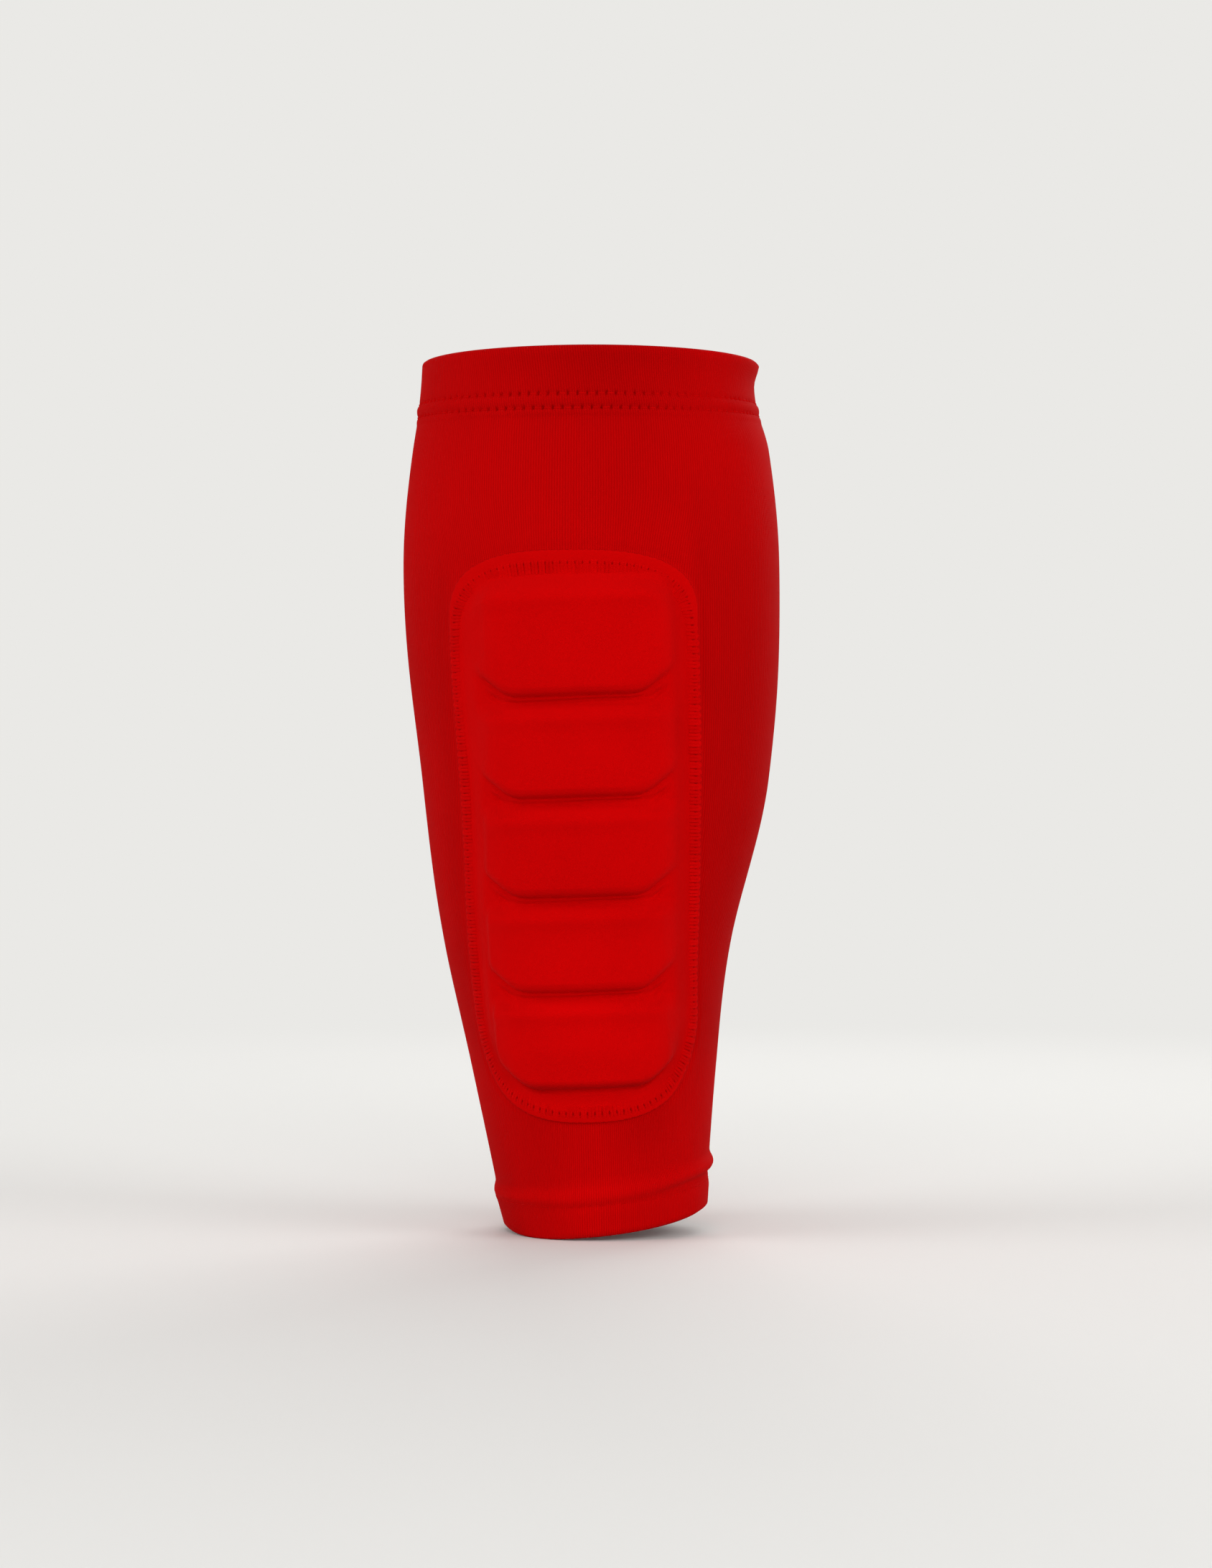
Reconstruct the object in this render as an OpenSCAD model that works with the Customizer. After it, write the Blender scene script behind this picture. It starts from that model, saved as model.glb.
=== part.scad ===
// Padded shin and calf sleeve. A knitted tube pulls on over the foot, and a
// moulded foam pad is sewn into a window over the shin.
// +Z runs up the leg, the pad faces -Y, and the origin is the middle of the
// lower opening. Every piece is laid on one leg surface, the outer face of
// the knit, at an angle round the leg, a height and an offset.

/* [Leg surface] */
// Length of the sleeve from the lower edge to the upper edge
sleeve_length = 295; // [280:1:330]
// Height of the ankle station
ankle_height = 50; // [42:1:58]
// Height of the shank station
shank_height = 95; // [85:1:105]
// Height where the calf begins to swell
swell_height = 150; // [138:1:160]
// Height of the widest part of the calf
calf_height = 225; // [210:1:235]
// Reach of the lower edge from the leg axis: left, right, front, back
hem_reach = [30.5, 39.5, 34.5, 35]; // [25:0.5:45]
// Reach at the ankle station
ankle_reach = [42, 42.5, 42, 42]; // [35:0.5:55]
// Reach at the shank station
shank_reach = [52, 48, 48.5, 51]; // [40:0.5:60]
// Reach where the calf begins to swell
swell_reach = [59.5, 61, 56, 61]; // [50:0.5:70]
// Reach at the widest part of the calf
calf_reach = [66, 65, 61, 66]; // [55:0.5:75]
// Reach at the upper edge
top_reach = [59.5, 56.5, 58.5, 58]; // [50:0.5:70]
// How far the lower edge dips at the front
front_dip = 5; // [0:0.5:8]
// How far the lower edge rises at the right side
side_rise = 3; // [0:0.5:6]
// How far the upper hem's turned edge sags at the front
hem_sag = 2.5; // [0:0.5:4]

/* [Sleeve] */
// Thickness of one ply of the knit
cloth_t = 1; // [0.7:0.1:1.3]
// Slit left between the two edges that meet at the back
back_gap = 0.4; // [0.2:0.1:0.8]
// Depth of the turned upper hem
top_hem = 20.5; // [18:0.5:26]
// How far the upper hem is drawn in
top_pinch = 1.3; // [0:0.1:2]
// How much more the upper hem is drawn in at the right side
pinch_bias = 0.9; // [0:0.1:1.2]
// How far the upper edge flares out again at the right side
top_flare = 1.5; // [0:0.1:2]
// Depth of the turned lower hem
bottom_hem = 12.5; // [11:0.5:15]
// How far the gathered roll above the lower hem stands out
roll_out = 0.9; // [0:0.1:2]
// How much more the roll stands out at the right side
roll_bias = 0.5; // [0:0.1:0.9]
// Height of the roll's crest above the lower hem's turned edge
roll_rise = 1; // [0:0.5:3]
// How much higher the roll's crest is at the right side
roll_slant = 2.6; // [0:0.2:4]
// Half height of the roll
roll_half = 4.8; // [4:0.2:6]
// Thickness of the elastic tape in the upper hem
elastic_t = 1; // [0.6:0.1:1.4]
// Margin between the elastic tape and the edges of the upper hem
elastic_margin = 1.5; // [1:0.5:2]

/* [Pad] */
// Height of the lower end of the pad panel above the lower edge
pad_bottom = 39; // [36:1:44]
// Length of the pad panel along the leg
pad_length = 184; // [170:1:196]
// Width of the pad panel round the leg
pad_width = 80.5; // [76:0.5:90]
// How far the lower end of the panel leans to the right
pad_lean = 3; // [0:0.5:6]
// Height of the rounded upper end of the panel
top_round = 21; // [16:0.5:28]
// Height of the rounded lower end of the panel
bottom_round = 34; // [26:0.5:40]
// Squareness of the rounded ends
round_power = 2.5; // [2:0.1:3]
// Thickness of the lining ply against the leg
lining_t = 0.5; // [0.3:0.1:0.7]
// Thickness of the cover ply
cover_t = 0.6; // [0.4:0.1:0.9]
// Thickness of the foam carrier sheet
sheet_t = 2; // [1.5:0.1:3]
// Thickness of each foam bar
bar_t = 5; // [3.5:0.1:6.5]
// Height of the upright rim of each foam bar
bar_rim = 1; // [0.6:0.1:1.4]
// Gap between neighbouring bars
bar_gap = 2.1; // [1.8:0.1:4]
// Room left beyond the first and the last bar
end_room = 1; // [0.5:0.1:3]
// How much longer the uppermost bar is than the others
top_bar_extra = 5; // [0:0.5:8]
// Width of the uppermost bar round the leg
bar_width_top = 63; // [56:0.5:68]
// Width of the lowest bar round the leg
bar_width_bottom = 60; // [52:0.5:66]
// Corner cut of each bar's lower corners, round the leg
corner_w = 11; // [7:0.5:14]
// Corner cut of each bar's lower corners, along the leg
corner_h = 8; // [5:0.5:10]
// Run of the slope at the upper end of a bar
slope_top = 5; // [3:0.5:7]
// Run of the slope at the lower end of a bar
slope_bottom = 2.6; // [1.6:0.1:4]
// Run of the slope at the sides of a bar
slope_side = 3; // [2:0.5:5]
// Flat margin of the panel inside the seam round it
flange_margin = 1; // [0.6:0.1:1.6]
// Run of the rise from the flat margin to the foam
rise_w = 2; // [1.2:0.1:3]

/* [Seams] */
// Thickness of the sewing thread
thread_d = 0.7; // [0.4:0.1:0.9]
// Stitch pitch of the hems
hem_pitch = 3.3; // [2.6:0.1:4]
// Distance of the nearest stitch row from the turned edge of a hem
row_margin = 2.5; // [2:0.1:3.5]
// Spacing of the two rows of the upper hem
row_gap = 5.2; // [4:0.2:6.4]
// Width of the flat seam round the pad
ring_w = 7; // [5:0.5:8]
// Stitch pitch of the flat seam round the pad
ring_pitch = 2.4; // [1.8:0.1:3.2]
// Width of the flat seam down the back
back_w = 6; // [4:0.5:7]
// Stitch pitch of the flat seam down the back
back_pitch = 2.6; // [2:0.1:3.4]

/* [Fits] */
// Gap between glued or facing plies
ply_gap = 0.2; // [0.15:0.05:0.3]
// Gap between the panel edge and the window edge
window_gap = 0.3; // [0.2:0.1:0.6]
// Gap between a thread and the cloth it lies on
thread_gap = 0.25; // [0.2:0.05:0.35]

/* [Hidden] */
$fn = 16;
bar_count = 5;
columns = 48;
levels = [0, ankle_height, shank_height, swell_height, calf_height, sleeve_length];
reaches = [hem_reach, ankle_reach, shank_reach, swell_reach, calf_reach, top_reach];
top_edge = sleeve_length;
top_turn = top_edge - top_hem;
bottom_row = bottom_hem - row_margin;
roll_height = bottom_hem + roll_rise;
roll_top = roll_height + roll_slant + roll_half;

// height over which the slant of the lower edge dies away
tilt_fade = 70;
// step where a hem's second ply ends, and the height of a rounded edge
ply_step = 0.6;
edge_run = 0.8;
// reach of the window's cutter to both sides of the cloth
window_reach = 5;

// ply offsets, measured outwards from the outer face of the knit
lining_out = lining_t - cloth_t;
sheet_in = lining_out + ply_gap;
sheet_out = sheet_in + sheet_t;
bar_in = sheet_out + ply_gap;
flange_in = lining_out + ply_gap;
flange_out = flange_in + cover_t;
elastic_out = -2 * cloth_t - ply_gap;
elastic_in = elastic_out - elastic_t;
thread_seat = thread_gap + thread_d / 2;

// the panel's ends, its flat edge and the room that the bars fill
flange_w = ring_w / 2 + flange_margin;
pad_top = pad_bottom + pad_length;
top_bend = pad_top - top_round;
bottom_bend = pad_bottom + bottom_round;
bar_skirt = 0.8;
sheet_inset = flange_w + rise_w + 2 * ply_gap;
bar_inset = sheet_inset + bar_skirt;
bars_bottom = pad_bottom + bar_inset + end_room;
bars_room = pad_length - 2 * (bar_inset + end_room);
bar_length = (bars_room - (bar_count - 1) * bar_gap - top_bar_extra) / bar_count;
bar_pitch = bar_length + bar_gap;

knit_colour = [0.72, 0.02, 0.02];
panel_colour = [0.78, 0.03, 0.03];
foam_colour = [0.2, 0.2, 0.22];
thread_colour = [0.6, 0.02, 0.02];

// the leg surface

function clamp(v, lo, hi) = min(max(v, lo), hi);
function mix(a, b, t) = a + (b - a) * t;
function bump(h, mid, half) = abs(h - mid) < half ? (1 + cos(180 * (h - mid) / half)) / 2 : 0;
function arc_angle(length, radius) = length / radius * 180 / PI;

function span_of(h) = clamp(len([for (v = levels) if (v <= h) 1]) - 1, 0, len(levels) - 2);
function slope(i, k) =
    let (a = max(i - 1, 0), b = min(i + 1, len(levels) - 1))
    (reaches[b][k] - reaches[a][k]) / (levels[b] - levels[a]);

// reach k of the leg at height h: a smooth curve through the stations
function reach(h, k) =
    let (i = span_of(h), d = levels[i + 1] - levels[i], t = clamp((h - levels[i]) / d, 0, 1))
    reaches[i][k] * (2 * t * t * t - 3 * t * t + 1)
    + slope(i, k) * d * (t * t * t - 2 * t * t + t)
    + reaches[i + 1][k] * (3 * t * t - 2 * t * t * t)
    + slope(i + 1, k) * d * (t * t * t - t * t);

// how the roll stands out, and how the upper hem flares and draws the cloth in
function hem_form(a, h) =
    (roll_out + roll_bias * sin(a)) * bump(h, roll_height + roll_slant * sin(a), roll_half)
    + top_flare * (1 + sin(a)) / 2 * bump(h, top_edge, top_hem * 0.4)
    - (top_pinch + pinch_bias * sin(a)) * bump(h, top_edge - top_hem * 0.6, top_hem * 0.9);

// how the hems slant and sag
function tilt(a, h) =
    (side_rise * sin(a) - front_dip * cos(a)) * pow(max(1 - h / tilt_fade, 0), 2)
    - hem_sag * cos(a) * bump(h, top_turn, top_hem);

// point at angle a from the front, height h and offset d from the knit
function leg(a, h, d) =
    let (e = hem_form(a, h), rx = reach(h, sin(a) < 0 ? 0 : 1) + e,
         ry = reach(h, cos(a) > 0 ? 2 : 3) + e,
         n = [sin(a) / rx, -cos(a) / ry] / norm([sin(a) / rx, cos(a) / ry]))
    [rx * sin(a) + d * n[0], -ry * cos(a) + d * n[1], h + tilt(a, h)];

// point s millimetres round the leg from the pad's middle line
function wrap_radius(h) = (reach(h, 0) + reach(h, 1) + 2 * reach(h, 2)) / 4;
function pad_middle(h) = pad_lean * (mix(pad_bottom, pad_top, 0.75) - h) / pad_length;
function pad_at(s, h, d) = leg(arc_angle(s + pad_middle(h), wrap_radius(h)), h, d);

// the panel outline, drawn in by e all round

function blunt(x) = pow(1 - pow(clamp(x, 0, 0.998), round_power), 1 / round_power);
function half_at(h, e) =
    (pad_width / 2 - e)
    * blunt(h > top_bend ? (h - top_bend) / (top_round - e) : (bottom_bend - h) / (bottom_round - e));
function is_within(s, h, e) =
    h >= pad_bottom + e && h <= pad_top - e && abs(s) <= half_at(h, e);

// how far a point lies inside the outline, by halving the bracket
function inset(s, h, low = 0, high = sheet_inset, n = 12) =
    n == 0 ? low
    : let (e = (low + high) / 2)
      is_within(s, h, e) ? inset(s, h, e, high, n - 1) : inset(s, h, low, e, n - 1);

// the foam bars, number 1 at the top

function bar_low(k) = bars_bottom + (bar_count - k) * bar_pitch;
function bar_high(k) = bar_low(k) + bar_length + (k == 1 ? top_bar_extra : 0);
function bar_near(h) =
    clamp(bar_count - floor((h - bars_bottom + bar_gap / 2) / bar_pitch), 1, bar_count);
function bar_half(k, h) =
    let (x = clamp(h, bar_low(k), bar_high(k)),
         up = (x - bars_bottom) / (bar_high(1) - bars_bottom),
         cut = corner_w * max(1 - (x - bar_low(k)) / corner_h, 0))
    min(mix(bar_width_bottom, bar_width_top, up) / 2 - cut, half_at(x, bar_inset));

// thickness of a bar at x inside its edge, which falls away outside as the cover's skirt does
function lift(x, run) =
    x < 0 ? bar_rim * max(1 + x / bar_skirt, 0) : mix(bar_rim, bar_t, min(x / run, 1));
function bar_lift(s, h) =
    let (k = bar_near(h))
    min(lift(h - bar_low(k), slope_bottom), lift(bar_high(k) - h, slope_top),
        lift(bar_half(k, h) - abs(s), slope_side));

// inner face of the cover: flat edge, rise to the carrier sheet, then the bars
function cover_in(s, h) =
    mix(flange_in, bar_in + ply_gap, clamp((inset(s, h) - flange_w) / rise_w, 0, 1)) + bar_lift(s, h);

function bar_rows(k) =
    let (a = bar_low(k), b = bar_high(k))
    [a, a + slope_bottom, a + corner_h, (a + corner_h + b - slope_top) / 2,
     b - slope_top, b - slope_top * 0.4, b];
function bar_columns(k, h) =
    let (o = bar_half(k, h), i = o - slope_side)
    [o, i, i * 0.66, i * 0.33];

// columns from the edge inwards, kept in order where the panel narrows
function in_order(v, i = 0, last = 0) =
    i == len(v) ? []
    : let (x = i == 0 ? v[0] : clamp(v[i], last * 0.3, last * 0.975))
      concat([x], in_order(v, i + 1, x));
function cover_columns(h) =
    let (w = half_at(h, 0), k = bar_near(h), o = bar_half(k, h))
    in_order(concat([w, w - flange_w, w - flange_w - rise_w, o + bar_skirt], bar_columns(k, h)));
function both_sides(v) = concat(-v, [0], [for (i = [len(v) - 1:-1:0]) v[i]]);

end_rows = [0, flange_w * 0.1, flange_w * 0.4, flange_w, flange_w + rise_w];
function cover_rows() =
    concat(
        [for (x = end_rows) pad_bottom + x],
        [for (k = [bar_count:-1:1])
            each concat([bar_low(k) - bar_skirt], bar_rows(k), [bar_high(k) + bar_skirt])],
        [for (i = [len(end_rows) - 1:-1:0]) pad_top - end_rows[i]]);
function eased_rows(low, high, n) = [for (i = [0:n]) mix(low, high, (1 - cos(180 * i / n)) / 2)];

// solids

// solid between two grids of points: rows upwards, columns anticlockwise seen from above
module slab(outer, inner, closed = false) {
    m = len(outer);
    n = len(outer[0]);
    q = m * n;
    last = closed ? n - 1 : n - 2;
    skin = [for (i = [0:m - 2], j = [0:last])
        let (a = i * n + j, b = i * n + (j + 1) % n) each [
            [a, a + n, b + n], [a, b + n, b],
            [q + a, q + b + n, q + a + n], [q + a, q + b, q + b + n]]];
    ends = [for (j = [0:last])
        let (b = (j + 1) % n, c = (m - 1) * n) each [
            [j, b, q + b], [j, q + b, q + j],
            [c + b, c + j, q + c + j], [c + b, q + c + j, q + c + b]]];
    sides = closed ? [] : [for (i = [0:m - 2])
        let (a = i * n, b = i * n + n - 1) each [
            [a + n, a, q + a], [a + n, q + a, q + a + n],
            [b, b + n, q + b + n], [b, q + b + n, q + b]]];
    points = concat([for (r = outer) each r], [for (r = inner) each r]);
    polyhedron(points, concat(skin, ends, sides));
}

// the panel's outline drawn in by e, from offset low to offset high
module pad_patch(e, low, high, rows, n) {
    heights = eased_rows(pad_bottom + e, pad_top - e, rows);
    function face(d) = [for (h = heights) [for (j = [-n:n]) pad_at(half_at(h, e) * j / n, h, d)]];
    slab(face(high), face(low));
}

module thread_between(a, b) {
    v = b - a;
    translate(a)
        rotate([0, acos(v[2] / norm(v)), atan2(v[1], v[0])])
            cylinder(h = norm(v), d = thread_d);
}

// the sleeve

function plies(h) = h <= bottom_hem || h >= top_turn ? 2 : 1;
function edge_round(h) = h == 0 || h == top_edge ? cloth_t / 2 : 0;
function back_angle(h) = 180 - arc_angle(back_gap / 2, reach(h, 3));
tape_rows = [for (t = [0, 0.33, 0.67, 1]) mix(top_turn + elastic_margin, top_edge - elastic_margin, t)];
sleeve_rows = concat(
    [0, edge_run, bottom_row * 0.4, bottom_row * 0.75, bottom_row, bottom_hem, bottom_hem + ply_step],
    [for (t = [0.22, 0.42, 0.62, 0.82, 1]) mix(bottom_hem, roll_top, t)],
    eased_rows(roll_top + roll_half, top_turn - 9, 14),
    [top_turn - 4, top_turn - ply_step, top_turn],
    tape_rows,
    [top_edge - edge_run, top_edge]);
function sleeve_row(h, d) = [for (j = [0:columns]) leg(mix(-1, 1, j / columns) * back_angle(h), h, d)];

module sleeve_body() color(knit_colour) difference() {
    slab(
        [for (h = sleeve_rows) sleeve_row(h, -edge_round(h))],
        [for (h = sleeve_rows) sleeve_row(h, edge_round(h) - cloth_t * plies(h))]);
    pad_patch(-window_gap, -window_reach, window_reach, 30, 6);
}

module hem_elastic() {
    function face(d) = [for (h = tape_rows) [for (j = [0:columns - 1]) leg(j / columns * 360 - 180, h, d)]];
    color(thread_colour) slab(face(elastic_out), face(elastic_in), closed = true);
}

// the pad

module pad_lining() color(knit_colour) pad_patch(0, -cloth_t, lining_out, 18, 6);

module foam_sheet() color(foam_colour) pad_patch(sheet_inset, sheet_in, sheet_out, 18, 6);

module foam_bar(k) {
    function face(share) = [for (h = bar_rows(k)) [for (s = both_sides(bar_columns(k, h)))
        pad_at(s, h, bar_in + share * bar_lift(s, h))]];
    color(foam_colour) slab(face(1), face(0));
}

module pad_cover() {
    function face(d) = [for (h = cover_rows()) [for (s = both_sides(cover_columns(h)))
        pad_at(s, h, cover_in(s, h) + d)]];
    color(panel_colour) slab(face(cover_t), face(0));
}

// the seams

function outline_at(p) =
    let (c = cos(p), v = sin(p), e = 2 / round_power)
    [pad_width / 2 * sign(c) * pow(abs(c), e),
     v < 0 ? bottom_bend - bottom_round * pow(-v, e) : top_bend + top_round * pow(v, e)];
outline = [for (p = [0:2:358]) outline_at(p)];
outline_steps = [for (i = [0:len(outline) - 1]) norm(outline[(i + 1) % len(outline)] - outline[i])];
outline_marks = [for (i = 0, sum = 0; i < len(outline); sum = sum + outline_steps[i], i = i + 1) sum];
outline_length = outline_marks[len(outline) - 1] + outline_steps[len(outline) - 1];
ring_count = round(outline_length / ring_pitch);

// ends of stitch i across the seam round the pad
function ring_stitch(i) =
    let (m = (i + 0.5) / ring_count * outline_length,
         k = len([for (v = outline_marks) if (v <= m) 1]) - 1,
         a = outline[k], b = outline[(k + 1) % len(outline)],
         p = mix(a, b, (m - outline_marks[k]) / outline_steps[k]), u = (b - a) / norm(b - a),
         n = [u[1], -u[0]] * ring_w / 2)
    [p - n, p + n];
module ring_stitches(d) color(thread_colour) for (i = [0:ring_count - 1]) {
    e = ring_stitch(i);
    thread_between(pad_at(e[0][0], e[0][1], d), pad_at(e[1][0], e[1][1], d));
}

module back_stitches(low, high, d) color(thread_colour) {
    n = floor((high - low) / back_pitch);
    for (i = [0:n - 1]) {
        h = low + (i + 0.5) / n * (high - low);
        a = arc_angle(back_w / 2, reach(h, 3));
        thread_between(leg(180 - a, h, d), leg(180 + a, h, d));
    }
}

// a hem's threads pass over the back seam, so they are lifted there
function girth(h) = PI / 2 * (reach(h, 0) + reach(h, 1) + reach(h, 2) + reach(h, 3));
function over_back(a, h) =
    180 - abs(a) < arc_angle(back_w / 2 + hem_pitch, reach(h, 3)) ? thread_d + thread_gap : 0;
module hem_row(h) color(thread_colour) {
    n = round(girth(h) / hem_pitch);
    for (i = [0:n - 1]) {
        a = (i + 0.12) / n * 360 - 180;
        b = (i + 0.88) / n * 360 - 180;
        thread_between(leg(a, h, thread_seat + over_back(a, h)), leg(b, h, thread_seat + over_back(b, h)));
    }
}
module hem_cross(low, high, d) color(thread_colour) {
    n = round(girth(high) / hem_pitch);
    for (i = [0:n - 1])
        thread_between(
            leg((i + 0.25) / n * 360 - 180, low, d), leg((i + 0.75) / n * 360 - 180, high, d));
}

module pad_seam_thread() ring_stitches(flange_out + thread_seat);
module pad_seam_looper() ring_stitches(-cloth_t - thread_seat);
module back_seam_thread() back_stitches(edge_run, top_edge - edge_run, thread_seat);
module back_seam_looper()
    back_stitches(bottom_hem + ply_step, top_turn - ply_step, -cloth_t - thread_seat);
module top_hem_thread_lower() hem_row(top_turn + row_margin);
module top_hem_thread_upper() hem_row(top_turn + row_margin + row_gap);
module top_hem_looper()
    hem_cross(top_turn + row_margin, top_turn + row_margin + row_gap, elastic_in - thread_seat);
module bottom_hem_thread() hem_row(bottom_row);
module bottom_hem_looper()
    hem_cross(bottom_row - row_margin / 2, bottom_row + row_margin / 2, -2 * cloth_t - thread_seat);

sleeve_body();
hem_elastic();
pad_lining();
foam_sheet();
foam_bar(1);  // foam_bar_1
foam_bar(2);  // foam_bar_2
foam_bar(3);  // foam_bar_3
foam_bar(4);  // foam_bar_4
foam_bar(5);  // foam_bar_5
pad_cover();
pad_seam_thread();
pad_seam_looper();
back_seam_thread();
back_seam_looper();
top_hem_thread_upper();
top_hem_thread_lower();
top_hem_looper();
bottom_hem_thread();
bottom_hem_looper();
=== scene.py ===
"""Padded shin and calf sleeve: cloth, foam, stitches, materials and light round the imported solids.

Shapes are in millimetres on one leg surface, the knit's outer face, until each mesh is made in metres.
Sizes are those of the part's source, but the pad's upper corners and borders are a little fuller here, and
the bars' feet and the upper hem's rows a little lower.
"""

import math

import bpy
import numpy as np
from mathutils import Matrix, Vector


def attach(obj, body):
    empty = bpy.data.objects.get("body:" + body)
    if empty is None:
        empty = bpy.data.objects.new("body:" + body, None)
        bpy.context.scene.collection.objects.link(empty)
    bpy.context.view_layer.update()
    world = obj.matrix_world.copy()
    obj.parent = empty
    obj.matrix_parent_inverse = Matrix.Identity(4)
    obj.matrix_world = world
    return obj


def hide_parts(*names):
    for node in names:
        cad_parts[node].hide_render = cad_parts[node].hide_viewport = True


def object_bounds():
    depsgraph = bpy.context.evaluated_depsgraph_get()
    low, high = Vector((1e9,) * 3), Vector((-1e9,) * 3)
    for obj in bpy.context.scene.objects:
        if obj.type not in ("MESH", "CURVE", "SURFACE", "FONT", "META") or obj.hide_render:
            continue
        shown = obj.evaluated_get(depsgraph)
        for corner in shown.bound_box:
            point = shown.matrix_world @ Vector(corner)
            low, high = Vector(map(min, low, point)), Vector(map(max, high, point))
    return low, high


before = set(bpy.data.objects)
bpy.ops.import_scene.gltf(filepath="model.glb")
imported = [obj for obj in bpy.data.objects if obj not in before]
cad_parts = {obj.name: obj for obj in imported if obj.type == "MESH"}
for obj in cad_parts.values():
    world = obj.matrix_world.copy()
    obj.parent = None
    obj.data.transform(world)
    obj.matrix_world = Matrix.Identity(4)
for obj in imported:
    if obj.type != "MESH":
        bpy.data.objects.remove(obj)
cad_low, cad_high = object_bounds()

MM = 0.001
TURN = 2 * math.pi

# leg surface: station heights, and reaches left, right, front and back of the leg axis
LEVELS = np.array([0, 50, 95, 150, 225, 295], float)
REACHES = np.array([
    [30.5, 39.5, 34.5, 35],
    [42, 42.5, 42, 42],
    [52, 48, 48.5, 51],
    [59.5, 61, 56, 61],
    [66, 65, 61, 66],
    [59.5, 56.5, 58.5, 58],
])
LEFT, RIGHT, FRONT, BACK = range(4)
FRONT_DIP, SIDE_RISE, HEM_SAG, TILT_FADE = 5.0, 3.0, 2.5, 70.0

# sleeve
CLOTH_T = 1.0
TOP_EDGE, TOP_HEM, TOP_PINCH, PINCH_BIAS, TOP_FLARE = 295.0, 20.5, 1.3, 0.9, 1.5
FLARE_SHARE, PINCH_DOWN, PINCH_SHARE = 0.4, 0.6, 0.9
TOP_TURN = TOP_EDGE - TOP_HEM
BOTTOM_HEM, ROLL_OUT, ROLL_BIAS, ROLL_RISE, ROLL_SLANT, ROLL_HALF = 12.5, 0.9, 0.5, 1.0, 2.6, 4.8
ROLL_HEIGHT = BOTTOM_HEM + ROLL_RISE
ELASTIC_OUT, ELASTIC_IN, ELASTIC_MARGIN = -2.2, -3.2, 1.5

# pad
PAD_BOTTOM, PAD_LENGTH, PAD_WIDTH, PAD_LEAN, LEAN_CENTRE = 39.0, 184.0, 80.5, 3.0, 0.75
PAD_TOP = PAD_BOTTOM + PAD_LENGTH
TOP_ROUND, BOTTOM_ROUND, TOP_POWER, BOTTOM_POWER, OUTLINE_END = 21.0, 34.0, 2.9, 2.5, 0.998
TOP_BEND, BOTTOM_BEND = PAD_TOP - TOP_ROUND, PAD_BOTTOM + BOTTOM_ROUND
LINING_OUT, SHEET_IN, SHEET_OUT, BAR_IN = -0.5, -0.3, 1.7, 1.9
COVER_T, FLANGE_OUT, BORDER_OUT = 0.6, 0.3, 2.7
FLANGE_W, RISE_W, SHEET_INSET = 4.5, 2.0, 6.9
BAR_COUNT, BAR_T, BARS_BOTTOM, BAR_LENGTH, BAR_PITCH, TOP_BAR_EXTRA = 5, 5.0, 47.7, 30.64, 32.74, 5.0
BAR_WIDTH_TOP, BAR_WIDTH_BOTTOM, CORNER_W, CORNER_H = 63.0, 60.0, 11.0, 8.0

# seams
HEM_PITCH, ROW_MARGIN, ROW_GAP = 3.3, 2.5, 5.2
ROW_SAGS = (0.5, 1.4)
TOP_ROWS = (TOP_TURN + ROW_MARGIN - ROW_SAGS[0], TOP_TURN + ROW_MARGIN + ROW_GAP - ROW_SAGS[1])
BOTTOM_ROW = BOTTOM_HEM - ROW_MARGIN
RING_W, RING_PITCH, BACK_W, BACK_PITCH = 7.0, 2.4, 6.0, 2.6


def mix(a, b, t):
    return a + (b - a) * t


def smooth(x, start, end):
    """An eased step from 0 at start to 1 at end. It falls where the end is below the start."""
    t = np.clip((x - start) / (end - start), 0, 1)
    return t * t * (3 - 2 * t)


def less(x, start, end, amount=1.0):
    """1 before the step, and less by the amount past it."""
    return 1 - amount * smooth(x, start, end)


def bump(x, mid, half):
    """A raised cosine of height 1 round mid."""
    t = np.clip((x - mid) / half, -1, 1)
    return (1 + np.cos(math.pi * t)) / 2


def smooth_min(a, b, k):
    t = np.clip(0.5 + 0.5 * (b - a) / k, 0, 1)
    return mix(b, a, t) - k * t * (1 - t)


def plain(x):
    return x


def summed(rows, **places):
    """The sum of the rows. A row is an amount and its factors, and a factor is a function, the name of the
    place that it takes, and its other values."""
    parts = (
        amount * math.prod(form(places[name], *values) for form, name, *values in factors)
        for amount, *factors in rows
    )
    return sum(parts)


def alike(*values):
    """The values as arrays of one shape."""
    return np.broadcast_arrays(*(np.asarray(v, float) for v in values))


def unit(v):
    return v / np.linalg.norm(v, axis=-1, keepdims=True)


def eased(count):
    """Places from -1 to 1, closer together towards both ends."""
    return np.sin(np.linspace(-1, 1, count) * math.pi / 2)


# the leg surface

LAST = len(LEVELS) - 1


def station_slope(i):
    low, high = max(i - 1, 0), min(i + 1, LAST)
    return (REACHES[high] - REACHES[low]) / (LEVELS[high] - LEVELS[low])


SLOPES = np.array([station_slope(i) for i in range(LAST + 1)])


def reach(h):
    """The four reaches at height h, on a smooth curve through the stations."""
    h = np.asarray(h, float)
    i = np.clip(np.searchsorted(LEVELS, h, side="right") - 1, 0, LAST - 1)
    run = (LEVELS[i + 1] - LEVELS[i])[..., None]
    t = np.clip((h - LEVELS[i])[..., None] / run, 0, 1)
    return (
        REACHES[i] * (2 * t**3 - 3 * t**2 + 1)
        + SLOPES[i] * run * (t**3 - 2 * t**2 + t)
        + REACHES[i + 1] * (3 * t**2 - 2 * t**3)
        + SLOPES[i + 1] * run * (t**3 - t**2)
    )


def roll_crest(a):
    return ROLL_HEIGHT + ROLL_SLANT * np.sin(a)


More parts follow.
